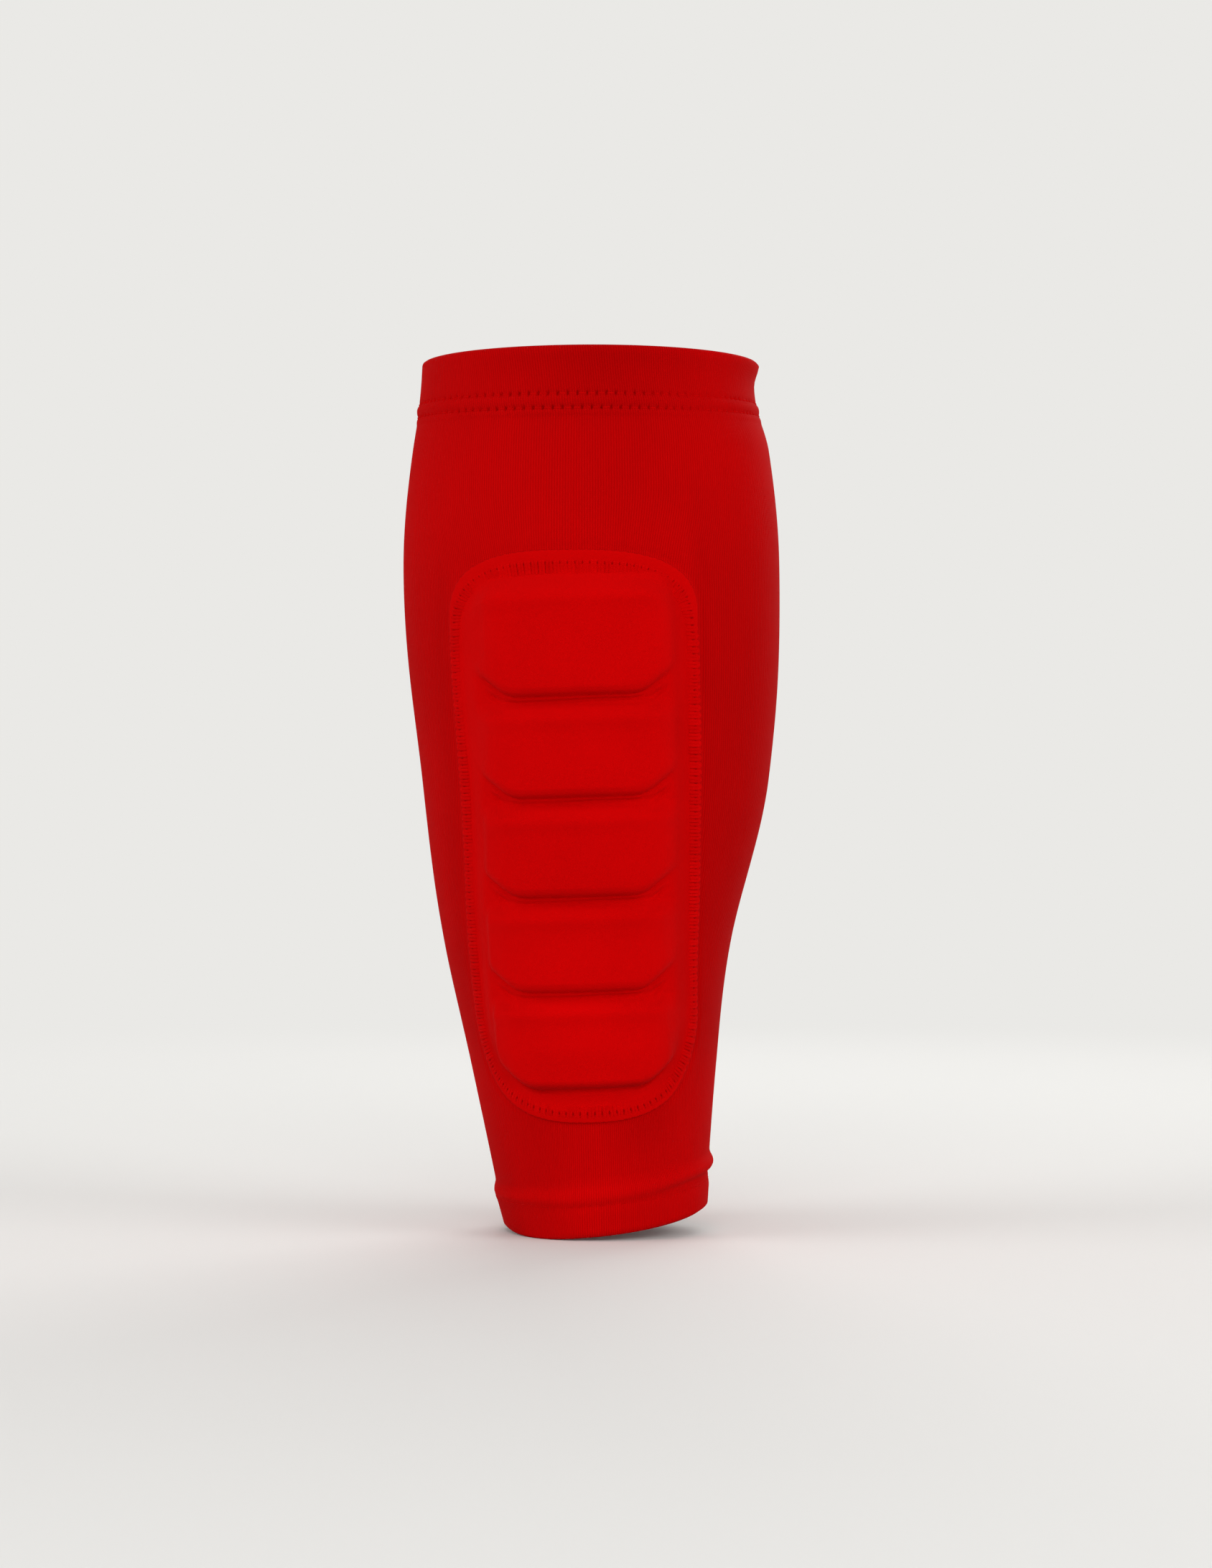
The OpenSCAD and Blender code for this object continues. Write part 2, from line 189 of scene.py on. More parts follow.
def hem_form(a, h):
    """How the roll stands out, and how the upper hem flares and draws the cloth in."""
    right = np.sin(a)
    pinch = bump(h, TOP_EDGE - TOP_HEM * PINCH_DOWN, TOP_HEM * PINCH_SHARE)
    return (
        (ROLL_OUT + ROLL_BIAS * right) * bump(h, roll_crest(a), ROLL_HALF)
        + TOP_FLARE * (1 + right) / 2 * bump(h, TOP_EDGE, TOP_HEM * FLARE_SHARE)
        - (TOP_PINCH + PINCH_BIAS * right) * pinch
    )


def tilt(a, h):
    slant = SIDE_RISE * np.sin(a) - FRONT_DIP * np.cos(a)
    sag = HEM_SAG * np.cos(a) * bump(h, TOP_TURN, TOP_HEM)
    return slant * np.maximum(1 - h / TILT_FADE, 0) ** 2 - sag


def outward(a, h):
    """Rounds of the leg and the level unit normal at angle a and height h."""
    r = reach(h) + hem_form(a, h)[..., None]
    rx = np.where(np.sin(a) < 0, r[..., LEFT], r[..., RIGHT])
    ry = np.where(np.cos(a) > 0, r[..., FRONT], r[..., BACK])
    nx, ny = np.sin(a) / rx, -np.cos(a) / ry
    size = np.hypot(nx, ny)
    return rx, ry, nx / size, ny / size


def leg(a, h, d):
    """Points at angle a from the front, height h and offset d from the knit's outer face."""
    a, h, d = alike(a, h, d)
    rx, ry, nx, ny = outward(a, h)
    return np.stack([rx * np.sin(a) + d * nx, -ry * np.cos(a) + d * ny, h + tilt(a, h)], -1)


def normals_at(a, h):
    a, h = alike(a, h)
    _, _, nx, ny = outward(a, h)
    return np.stack([nx, ny, np.zeros(nx.shape)], -1)


def wrap_radius(h):
    r = reach(h)
    return (r[..., LEFT] + r[..., RIGHT] + 2 * r[..., FRONT]) / 4


def girth(h):
    return math.pi / 2 * float(reach(h).sum())


def back_distance(a, h):
    """Distance from the middle of the back seam."""
    return (math.pi - np.abs(a)) * reach(h)[..., BACK]


# places on the pad: how far its borders are moved out, over which heights and from where across it

BORDER_FULL, FULL_START, FULL_RUN = 2.6, 28.5, 8.5
LEFT_FULL = ((1.0, (smooth, "h", 115, 195), (less, "h", 200, 221, 0.7)),)
RIGHT_FULL = ((1.0, (smooth, "h", 48, 72), (less, "h", 95, 145)),)


def pad_middle(h):
    return PAD_LEAN * (mix(PAD_BOTTOM, PAD_TOP, LEAN_CENTRE) - h) / PAD_LENGTH


def border_full(s, h):
    """How much further out the pad's border lies, at the upper left and the lower right."""
    return BORDER_FULL * np.where(s < 0, summed(LEFT_FULL, h=h), summed(RIGHT_FULL, h=h))


def pad_angle(s, h):
    aside = np.sign(s) * border_full(s, h) * np.clip((np.abs(s) - FULL_START) / FULL_RUN, 0, 1)
    return (s + aside + pad_middle(h)) / wrap_radius(h)


def pad_across(a, h):
    """The distance from the pad's middle line that pad_angle turns into the angle a."""
    x = a * wrap_radius(h) - pad_middle(h)
    full = border_full(x, h)
    return x - np.sign(x) * full * np.clip((np.abs(x) - FULL_START) / (FULL_RUN + full), 0, 1)


def pad_at(s, h, d):
    h = np.asarray(h, float)
    return leg(pad_angle(s, h), h, d)


# the pad's outline, drawn in by e all round

FAR_OUT, FAR_IN, HALVINGS = -8.0, 10.0, 22


def half_at(h, e):
    above = (h - TOP_BEND) / (TOP_ROUND - e)
    below = (BOTTOM_BEND - h) / (BOTTOM_ROUND - e)
    x = np.clip(np.where(h > TOP_BEND, above, below), 0, OUTLINE_END)
    power = np.where(h > TOP_BEND, TOP_POWER, BOTTOM_POWER)
    return (PAD_WIDTH / 2 - e) * (1 - x**power) ** (1 / power)


def is_within(s, h, e):
    return (h >= PAD_BOTTOM + e) & (h <= PAD_TOP - e) & (np.abs(s) <= half_at(h, e))


def halved(low, high, test):
    """The last places between low and high where the test holds, by halving."""
    for _ in range(HALVINGS):
        mid = (low + high) / 2
        holds = test(mid)
        low, high = np.where(holds, mid, low), np.where(holds, high, mid)
    return low


def inset(s, h):
    """How far a point lies inside the outline, or outside where negative."""
    s, h = alike(s, h)
    return halved(FAR_OUT, FAR_IN, lambda e: is_within(s, h, e))


def outline_at(p):
    """The outline at angle p, as distance round the leg and height."""
    c, v = np.cos(p), np.sin(p)
    e = 2 / np.where(v < 0, BOTTOM_POWER, TOP_POWER)
    rise = np.where(v < 0, -BOTTOM_ROUND, TOP_ROUND) * np.abs(v) ** e
    s = PAD_WIDTH / 2 * np.sign(c) * np.abs(c) ** e
    return np.stack([s, np.where(v < 0, BOTTOM_BEND, TOP_BEND) + rise], -1)


# relief of the knit's outer face: rows of a height in millimetres and where it applies

RING_ROLL, RING_ROLL_HALF, RING_DIP, RING_DIP_HALF = 0.55, 3.8, 0.1, 1.0
BACK_ROLL_HALF, BACK_DIP, BACK_DIP_HALF = 3.8, 0.5, 0.9
CREASE_OUT, CREASE_OUT_TOP, ROLL_SAG, NEEDLE_HALF, NEEDLE_TALL = 3.7, 4.8, 1.2, 0.62, 1.1
# slackness: depth, waves round the leg, height for each radian, and start
SLACK_WAVES = ((0.16, 3, 31, 0.0), (0.12, 5, -19, 1.3), (0.08, 2, 11, 0.4))
OFF_SEAM, SAG_PLACE, DEEP_RIGHT, DEEP_LOW = (2, 8), (0.25, 0.85), (8, 38), (BOTTOM_BEND, PAD_BOTTOM + 6)
RING_LOW, RING_BROAD = (PAD_BOTTOM + 4, PAD_BOTTOM + 20), (TOP_BEND - 6, PAD_TOP - 6)
CREASE, CREST = (bump, "crease", 0, 1.5), (bump, "under", -0.2, 3.2)
HEM_EDGE, LOW_ROW = (smooth, "h", TOP_TURN - 1.0, TOP_TURN + 0.7), (bump, "h", BOTTOM_ROW, 0.8)
AT_FRONT, AT_RIGHT = (bump, "a", -0.1, 1.2), (smooth, "right", 0.5, 0.95)
NOT_RIGHT, LESS_LEFT = (less, "right", 0.5, 0.95), (less, "right", -0.1, -0.7, 0.4)
KNIT_RELIEF = (
    # the crease outside the ring seam, deeper at the right and at the foot
    (-0.12, CREASE),
    (-0.28, CREASE, (plain, "deep")),
    # the upper hem: edge of the doubled cloth, pillow between the rows, rows and needle holes
    (0.25, HEM_EDGE),
    (0.3, HEM_EDGE, AT_FRONT),
    (0.5, (bump, "h", sum(TOP_ROWS) / 2 + 0.4, 2.6)),
    (-0.25, (bump, "h", TOP_ROWS[0], 1.1)),
    (-0.25, (bump, "h", TOP_ROWS[1], 1.1)),
    (-0.5, (plain, "top_holes")),
    (-0.8, (plain, "top_holes"), AT_FRONT),
    # the lower hem: crest of the roll, tuck under it at the right, fullness below it, row and needle holes
    (0.75, CREST),
    (0.3, CREST, (bump, "a", -0.7, 0.6)),
    (-0.5, CREST, AT_RIGHT),
    (-0.6, (bump, "under", 3.1, 1.6), AT_RIGHT),
    (0.6, (smooth, "h", 12, 7), AT_RIGHT),
    (1.3, (smooth, "under", -0.8, 2.4), (less, "under", 3, 12.5, 0.85), NOT_RIGHT, LESS_LEFT),
    (-0.1, LOW_ROW),
    (-0.15, LOW_ROW, (smooth, "right", -0.3, -1.0)),
    (-0.1, (plain, "low_holes")),
    # the seam down the back: two edges that meet, rolled up under the stitches
    (0.35, (bump, "back", 0, BACK_ROLL_HALF)),
    (-BACK_DIP, (bump, "back", 0, BACK_DIP_HALF)),
)


def stitch_count(row):
    """How many stitches a hem row has."""
    return round(girth(row) / HEM_PITCH)


def needle_holes(a, h, row):
    """1 in the upright holes between the stitches of a hem row, 0 away from them."""
    phase = (a + math.pi) / TURN * stitch_count(row)
    along = (phase - np.round(phase)) * HEM_PITCH
    return bump(np.hypot(along / NEEDLE_HALF, (h - row) / NEEDLE_TALL), 0, 1)


def unevenness(a, h):
    """Slight slackness of the knit."""
    return sum(deep * np.sin(waves * a + h / run + start) for deep, waves, run, start in SLACK_WAVES)


def ring_form(out):
    """The seam round the pad: a roll of cloth, with a dip where the plies meet."""
    return RING_ROLL * bump(out, 0, RING_ROLL_HALF) - RING_DIP * bump(out, 0, RING_DIP_HALF)


def ring_low(h):
    """1 along the foot of the seam, 0 elsewhere."""
    return less(h, *RING_LOW)


def ring_broad(h):
    """0 along the sides and the foot of the seam, 1 over its top."""
    return smooth(h, *RING_BROAD)


def roll_line(a):
    """Height of the gathered roll, which sags at the front."""
    return roll_crest(a) - ROLL_SAG * bump(a, *SAG_PLACE)


def knit_relief(a, h):
    """Offset of the knit's outer face from the plain leg surface."""
    a, h = alike(a, h)
    s = pad_across(a, h)
    out = -inset(s, h)
    return unevenness(a, h) * smooth(out, *OFF_SEAM) + ring_form(out) + summed(
        KNIT_RELIEF, a=a, h=h, right=np.sin(a), under=roll_line(a) - h, back=back_distance(a, h),
        crease=out - mix(CREASE_OUT, CREASE_OUT_TOP, ring_broad(h)),
        deep=np.maximum(smooth(s, *DEEP_RIGHT), smooth(h, *DEEP_LOW)),
        top_holes=needle_holes(a, h, TOP_ROWS[0]) + needle_holes(a, h, TOP_ROWS[1]),
        low_holes=needle_holes(a, h, BOTTOM_ROW))


# relief of the pad's cover

CUT = math.hypot(CORNER_W, CORNER_H)
SKIRT, WALL_RUN, LAST_WALL_RUN, TOP_RUN, FIRST_TOP_RUN, TOP_BLEND = 0.3, 3.0, 3.2, 5.1, 7.4, 4.2
FOOT_DROPS = (-0.2, 0.8, 1.3, 0.5, 0.5)
BAR_SLANT, BAR_ASIDE, CUT_ROUND, SLOPE_MOST, SLOPE_ROUND = 0.035, 0.7, 2.0, 9, 0.3
# the rise at a bar's side, crisp or soft, and how crisp each bar's side is
CRISP_SIDE = ((0.6, (smooth, "side", -2.0, 2.2)), (0.4, (smooth, "side", -1.0, 9.0)))
SOFT_SIDE = ((0.5, (smooth, "side", -3.0, 5.0)), (0.5, (smooth, "side", -1.5, 10.0)))
LEFT_CRISP, RIGHT_CRISP, NEAR_FOOT = (0.0, 0.3, 0.8, 1.0, 1.0), 0.5, (5, 14)
# a bar's face up its length, as a share of its height, and the crown across it
FACE = ((1.02,), (-0.17, (smooth, "up", 0.1, 0.72)), (0.08, (bump, "up", 0.82, 0.14)))
CROWN = 0.05
# the valley under a bar: bridge, ridge, groove, hollow and the puckers at its corners
LEVEL, NOT_LEVEL = (smooth, "side", CORNER_W - 3, CORNER_W + 2), (less, "side", CORNER_W - 3, CORNER_W + 2)
AT_CORNER = (bump, "side", CORNER_W * 0.45, 4.2)
VALLEY = (
    (1.1, (bump, "lower", -1.0, 2.9), (smooth, "side", 2, CORNER_W + 2)),
    (0.3, (bump, "lower", -1.2, 0.85), LEVEL),
    (-0.75, (bump, "groove", 0, 0.85), LEVEL),
    (-0.3, (bump, "lower", -3.4, 1.4), LEVEL),
    (0.5, (bump, "cut", -2.4, 1.2), AT_CORNER, NOT_LEVEL),
    (-1.0, (bump, "cut", -3.9, 1.3), AT_CORNER, NOT_LEVEL),
)
GROOVE_DOWN, GROOVE_TURN = (2.5, 1.9), (-8, 8)
LAST_VALLEY = ((-1.0, (bump, "lower", -0.5, 1.2), (smooth, "side", 0, CORNER_W / 2)),)
# the cover's waves, its share of the border at the foot, the least offset inside it, and where they start
COVER_WAVES = ((0.07, 7, 9), (0.05, 4.3, -13))
FOOT_SHARE, COVER_LEAST, NO_LEAST, LEAST_ROUND = 0.25, 0.7, -9.0, 0.3
FOOT_ZONE, BORDER_ZONE = (BARS_BOTTOM, BARS_BOTTOM + 14), (FLANGE_W - 1.9, FLANGE_W + RISE_W + 3.3)
CREASE_ZONE, LEAST_ZONE = (FLANGE_W - 0.8, FLANGE_W + 1.8), (FLANGE_W - 0.5, FLANGE_W + 1.5)


def bar_low(k):
    return BARS_BOTTOM + (BAR_COUNT - k) * BAR_PITCH


def bar_high(k):
    return bar_low(k) + BAR_LENGTH + (TOP_BAR_EXTRA if k == 1 else 0)


def bar_width(h):
    up = np.clip((h - BARS_BOTTOM) / (bar_high(1) - BARS_BOTTOM), 0, 1)
    return mix(BAR_WIDTH_BOTTOM, BAR_WIDTH_TOP, up)


def quarter(x):
    """A wall that leaves the ground upright and rounds over to the level."""
    x = np.clip(x, 0, 1)
    return np.sqrt(1 - (1 - x) ** 2)


def bar_place(k, s, h):
    """Distances inside bar k's side, its foot, its corner cut and its whole lower edge."""
    side = bar_width(h) / 2 - np.abs(s - BAR_ASIDE)
    down = h - bar_low(k) + FOOT_DROPS[k - 1] - BAR_SLANT * s
    cut = (side * CORNER_H + down * CORNER_W - CORNER_W * CORNER_H) / CUT
    return side, down, cut, smooth_min(down, cut, CUT_ROUND)


def bar_relief(k, s, h):
    """Height of bar k over the pad's border, and the creases under it."""
    high = bar_high(k) + (TOP_BLEND if k == 1 else -FOOT_DROPS[k - 2])
    side, down, cut, lower = bar_place(k, s, h)
    wall = quarter((lower + SKIRT) / (LAST_WALL_RUN if k == BAR_COUNT else WALL_RUN))
    near_foot = less(down, *NEAR_FOOT)
    crisp = np.where(s < BAR_ASIDE, np.maximum(LEFT_CRISP[k - 1], near_foot), RIGHT_CRISP * near_foot)
    flank = mix(summed(SOFT_SIDE, side=side), summed(CRISP_SIDE, side=side), crisp)
    run = FIRST_TOP_RUN if k == 1 else TOP_RUN
    slope = smooth_min(np.clip((high + BAR_SLANT * s - h) / run, 0, SLOPE_MOST), 1.0, SLOPE_ROUND)
    up = np.clip(down / (high - bar_low(k)), 0, 1)
    face = summed(FACE, up=up) + CROWN * (1 - np.clip(2 * s / BAR_WIDTH_TOP, -1, 1) ** 2)
    lift = BAR_T * face * wall * flank * np.clip(slope, 0, 1)
    groove = lower + mix(*GROOVE_DOWN, smooth(s, *GROOVE_TURN))
    valley = LAST_VALLEY if k == BAR_COUNT else VALLEY
    return lift, summed(valley, side=side, lower=lower, cut=cut, groove=groove)


def flange_out(e, h):
    """The cover's edge: the flat seam, and the rise to the border, which is low at the foot."""
    full = mix(FOOT_SHARE, 1.0, smooth(h, *FOOT_ZONE))
    rise = (BORDER_OUT - FLANGE_OUT) * full * smooth(e, *BORDER_ZONE)
    return FLANGE_OUT + rise + ring_form(e) - FLANGE_OUT * bump(e, 0, RING_ROLL_HALF)


def cover_out(s, h):
    """Offset of the cover's outer face: seam, rise to the border, and the bars."""
    s, h = alike(s, h)
    e = inset(s, h)
    d = flange_out(e, h) + sum(deep * np.sin(s / run + h / rise) for deep, run, rise in COVER_WAVES)
    for k in range(1, BAR_COUNT + 1):
        lift, crease = bar_relief(k, s, h)
        d = d + lift + crease * smooth(e, *CREASE_ZONE)
    least = mix(NO_LEAST, COVER_LEAST, smooth(e, *LEAST_ZONE))
    return -smooth_min(-d, -least, LEAST_ROUND)


# meshes

THREAD_SIDES, TONE_RANGE = 8, (0.95, 1.05)


def used_only(points, faces, cloth):
    """Drops the points that no face uses."""
    kept = np.unique(np.concatenate([f.ravel() for f in faces]))
    place = np.full(len(points), -1)
    place[kept] = np.arange(len(kept))
    return points[kept], [place[f] for f in faces], cloth[kept]


def make_piece(name, points, faces, cloth, material, slot, nodes):
    """A piece from points in millimetres and index arrays, one for each face size."""
    points, faces, cloth = used_only(points, faces, cloth)
    mesh = bpy.data.meshes.new(name)
    mesh.from_pydata((points * MM).tolist(), [], [f for group in faces for f in group.tolist()])
    mesh.polygons.foreach_set("use_smooth", np.ones(len(mesh.polygons), bool))
    layer = mesh.attributes.new("cloth", "FLOAT_VECTOR", "POINT")
    layer.data.foreach_set("vector", cloth.astype(np.float32).ravel())
    mesh.materials.append(material)
    mesh.update()
    piece = bpy.data.objects.new(name, mesh)
    bpy.context.scene.collection.objects.link(piece)
    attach(piece, "root")
    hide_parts(*nodes)
    return piece


def grid_faces(index, closed=False):
    """Quads of an index grid, seen from where its rows rise and its columns run right."""
    right = np.roll(index, -1, 1) if closed else index[:, 1:]
    left = index if closed else index[:, :-1]
    quads = [left[:-1], right[:-1], right[1:], left[1:]]
    return np.stack(quads, -1).reshape(-1, 4)


def shell(name, outer, inner, cloth, material, slot, nodes, closed=False):
    """A closed ply between two grids of points."""
    rows, columns = outer.shape[:2]
    front = np.arange(rows * columns).reshape(rows, columns)
    back = front + rows * columns
    faces = [grid_faces(front, closed), grid_faces(back, closed)[:, ::-1]]
    faces.append(grid_faces(np.stack([back[0], front[0]]), closed))
    faces.append(grid_faces(np.stack([front[-1], back[-1]]), closed))
    if not closed:
        faces.append(grid_faces(np.stack([front[:, 0], back[:, 0]])))
        faces.append(grid_faces(np.stack([back[:, -1], front[:, -1]])))
    points = np.concatenate([outer.reshape(-1, 3), inner.reshape(-1, 3)])
    both = np.concatenate([cloth.reshape(-1, 3)] * 2)
    return make_piece(name, points, [np.concatenate(faces)], both, material, slot, nodes)


def tubes(paths, normals, across, high, sides=THREAD_SIDES, closed=False, shade=1.0):
    """Points, faces and cloth of thread along each path. across and high are its half width and height."""
    count, steps = paths.shape[:2]
    tone_and_painted_shade = shade * np.random.default_rng(count).uniform(*TONE_RANGE, (count, 1, 1))
    if closed:
        along = np.roll(paths, -1, 1) - np.roll(paths, 1, 1)
    else:
        along = np.gradient(paths, axis=1)
    along = unit(along)
    side = unit(np.cross(along, normals))
    up = np.cross(side, along)
    turn = np.arange(sides) / sides * TURN
    wide = (side * across[..., None])[:, :, None] * np.sin(turn)[:, None]
    tall = (up * high[..., None])[:, :, None] * np.cos(turn)[:, None]
    points = paths[:, :, None] + wide + tall
    index = np.arange(count * steps * sides).reshape(count, steps, sides)
    after = np.roll(index, -1, 1)
    if not closed:
        index, after = index[:, :-1], after[:, :-1]
    quads = np.stack([index, np.roll(index, -1, 2), np.roll(after, -1, 2), after], -1).reshape(-1, 4)
    faces = [quads] if closed else [quads, np.concatenate([index[:, 0, ::-1], after[:, -1]])]
    steps_long = np.linalg.norm(np.diff(paths, axis=1), axis=-1)
    run = np.concatenate([np.zeros((count, 1)), np.cumsum(steps_long, 1)], 1)
    cloth = np.zeros(points.shape)
    cloth[..., 0] = run[:, :, None]
    cloth[..., 1] = turn
    cloth[..., 2] = tone_and_painted_shade
    return points.reshape(-1, 3), faces, cloth.reshape(-1, 3)


def join(parts):
    """Several results of tubes() as one."""
    points, faces, cloth, start = [], [], [], 0
    for p, f, c in parts:
        points.append(p)
        faces.extend(x + start for x in f)
        cloth.append(c)
        start += len(p)
    return np.concatenate(points), faces, np.concatenate(cloth)


# materials

def linear(r, g, b):
    """A colour written in sRGB from 0 to 255."""
    parts = [c / 255 for c in (r, g, b)]
    return tuple(c / 12.92 if c < 0.04045 else ((c + 0.055) / 1.055) ** 2.4 for c in parts)


class Graph:
    """The nodes of a material or a world, made and linked by short calls."""

    def __init__(self, owner, **settings):
        owner.use_nodes = True
        self.owner = owner
        self.tree = owner.node_tree
        self.shader = self.tree.nodes.get("Principled BSDF")
        for socket, value in settings.items():
            self.feed(self.shader.inputs[socket.replace("_", " ")], value)

    def feed(self, socket, value):
        if isinstance(value, bpy.types.NodeSocket):
            self.tree.links.new(value, socket)
        else:
            socket.default_value = value

    def node(self, kind, inputs=(), **settings):
        made = self.tree.nodes.new(kind)
        for key, value in settings.items():
            setattr(made, key, value)
        for key, value in dict(inputs).items():
            self.feed(made.inputs[key], value)
        return made

    def math(self, operation, *values):
        return self.node("ShaderNodeMath", enumerate(values), operation=operation).outputs[0]

    def blend(self, *pairs):
        """The sum of each value times its share."""
        total = 0.0
        for value, share in pairs:
            total = self.math("MULTIPLY_ADD", value, share, total)
        return total

    def cloth(self):
        """The cloth coordinates across and along, and the tone, which carries the painted light and shade,
        each in its own socket.
        """
        held = self.node("ShaderNodeAttribute", attribute_name="cloth")
        return self.node("ShaderNodeSeparateXYZ", {0: held.outputs["Vector"]}).outputs

    def place(self):
        return self.node("ShaderNodeTexCoord").outputs["Object"]

    def wave(self, value, pitch):
        return self.math("SINE", self.math("MULTIPLY", value, TURN / pitch))

    def noise(self, scale, detail, vector=None):
        inputs = {"Vector": vector or self.place(), "Scale": scale, "Detail": detail}
        return self.node("ShaderNodeTexNoise", inputs).outputs["Fac"]

    def ranged(self, value, span, to=(0.0, 1.0), **settings):
        """The value, with the span that it moves over brought to another one."""
        return self.node("ShaderNodeMapRange", enumerate((value, *span, *to)), **settings).outputs[0]

    def shade(self, colour, *factors):
        """The colour times each factor, as the base colour."""
        total = factors[0]
        for factor in factors[1:]:
            total = self.math("MULTIPLY", total, factor)
        tint = self.node("ShaderNodeVectorMath", {0: colour}, operation="SCALE")
        self.feed(tint.inputs["Scale"], total)
        self.feed(self.shader.inputs["Base Color"], tint.outputs["Vector"])

    def emboss(self, height, depth):
        """Bump of a depth in millimetres."""
        made = self.node("ShaderNodeBump", {"Height": height, "Distance": depth * MM})
        self.feed(self.shader.inputs["Normal"], made.outputs["Normal"])

    def seen(self):
        """1 for the rays that show the background, 0 for the ones that light the part."""
        path = self.node("ShaderNodeLightPath").outputs
        shown = self.math("MAXIMUM", path["Is Camera Ray"], path["Is Glossy Ray"])
        return self.math("MAXIMUM", shown, path["Is Transmission Ray"])

    def end(self, output, share, first, second):
        """Two shaders, mixed into the output node."""
        both = self.node("ShaderNodeMixShader", {0: share, 1: first, 2: second})
        self.feed(self.tree.nodes[output].inputs["Surface"], both.outputs[0])


CLOTH_FINISH = {
    "Roughness": 0.9,
    "Specular_IOR_Level": 0.06,
    "Specular_Tint": (0.9, 0.05, 0.05, 1),
    "Sheen_Weight": 0.05,
    "Sheen_Roughness": 0.45,
    "Sheen_Tint": (0.9, 0.02, 0.02, 1),
}
KNIT_RED, PAD_RED, SEAM_RED = linear(179, 2, 3), linear(194, 2, 3), linear(201, 2, 3)
FOAM_GREY = linear(60, 60, 64)
# pitches are in millimetres, and scales for each metre
RIB_PITCH, TWIST_PITCH = 0.88, 0.55
NOISE_SPAN, WAVE_SPAN = (0.3, 0.7), (-1, 1)


def new_graph(name):
    return Graph(bpy.data.materials.new(name), **CLOTH_FINISH)


def knit_material():
    """Jersey knit: wales as fine ribs up the leg, with loops along each of them."""
    g = new_graph("knit")
    across, along, tone_and_painted_shade = g.cloth()
    lean = g.math("PINGPONG", across, RIB_PITCH / 2)
    loops = g.wave(g.blend((along, 1.0), (lean, 0.9)), pitch=0.66)
    height = g.blend((g.wave(across, RIB_PITCH), 0.5), (loops, 0.12))
    drawn = {0: g.math("MULTIPLY", across, 1.3), 1: g.math("MULTIPLY", along, 0.05)}
    streaks = g.noise(1.0, 1.0, vector=g.node("ShaderNodeCombineXYZ", drawn).outputs[0])
    streak = g.ranged(streaks, NOISE_SPAN, (0.985, 1.015))
    mottle = g.ranged(g.noise(scale=26.0, detail=3.0), NOISE_SPAN, (0.96, 1.04))
    # the ribs' valleys are painted darker and their crests lighter: painted shade on top of the bump
    g.shade(KNIT_RED, g.ranged(height, (-0.6, 0.6), (0.86, 1.12)), streak, mottle, tone_and_painted_shade)
    g.emboss(height, 0.1)
    return g.owner


def pad_material():
    """Smooth fine knit over the foam."""
    g = new_graph("pad_cloth")
    across, along, tone_and_painted_shade = g.cloth()
    fine = g.math("MULTIPLY", g.wave(across, pitch=0.46), g.wave(along, pitch=0.52))
    height = g.blend((fine, 0.4), (g.noise(scale=900.0, detail=2.0), 1.0))
    mottle = g.ranged(g.noise(scale=45.0, detail=3.0), NOISE_SPAN, (0.97, 1.03))
    # the weave's lower places are painted darker: painted shade on top of the bump
    g.shade(PAD_RED, mottle, g.ranged(height, (0.1, 0.9), (0.96, 1.03)), tone_and_painted_shade)
    g.emboss(height, 0.05)
    return g.owner


def thread_material():
    """Soft textured thread, with a twist along it."""
    g = new_graph("thread")
    along, around, tone_and_painted_shade = g.cloth()
    twist = g.math("SINE", g.blend((along, TURN / TWIST_PITCH), (around, 1.0)))
    # the twist's grooves are painted darker: painted shade on top of the bump
    g.shade(SEAM_RED, tone_and_painted_shade, g.ranged(twist, WAVE_SPAN, (0.93, 1.04)))
    g.emboss(g.blend((twist, 0.5), (g.noise(scale=1500.0, detail=2.0), 1.0)), 0.06)
    return g.owner


def lining_material():
    """Brushed lining: short nap over a fine knit."""
    g = new_graph("lining")
    across, _, _ = g.cloth()
    fine = g.wave(across, pitch=0.6)
    nap = g.noise(scale=700.0, detail=4.0)
    # where the nap and the fine knit lie lower they are painted darker: painted shade on top of the bump
    g.shade(KNIT_RED, g.ranged(nap, (0.25, 0.75), (0.85, 1.05)), g.ranged(fine, WAVE_SPAN, (0.96, 1.02)))
    g.emboss(g.blend((fine, 0.3), (nap, 1.0)), 0.08)
    return g.owner


def elastic_material():
    """Woven elastic tape: cords round the leg with a fine warp across them."""
    g = new_graph("elastic")
    around, along, _ = g.cloth()
    height = g.blend((g.wave(along, pitch=1.5), 0.6), (g.wave(around, pitch=0.7), 0.25))
    # the tape's grooves are painted darker: painted shade on top of the bump
    g.shade(KNIT_RED, g.ranged(height, (-0.85, 0.85), (0.8, 1.05)))
    g.emboss(height, 0.12)
    return g.owner


def foam_material():
    """Closed-cell foam."""
    g = Graph(bpy.data.materials.new("foam"), Roughness=0.85, Specular_IOR_Level=0.2)
    inputs = {"Vector": g.place(), "Scale": 1400.0}
    cells = g.node("ShaderNodeTexVoronoi", inputs).outputs["Distance"]
    # the cells' hollows are painted darker: painted shade on top of the bump
    g.shade(FOAM_GREY, g.ranged(cells, (0.0, 0.7), (0.75, 1.15)))
    g.emboss(cells, 0.12)
    return g.owner


KNIT, PAD_CLOTH, THREAD = knit_material(), pad_material(), thread_material()
LINING, ELASTIC, FOAM = lining_material(), elastic_material(), foam_material()

# the knit sleeve

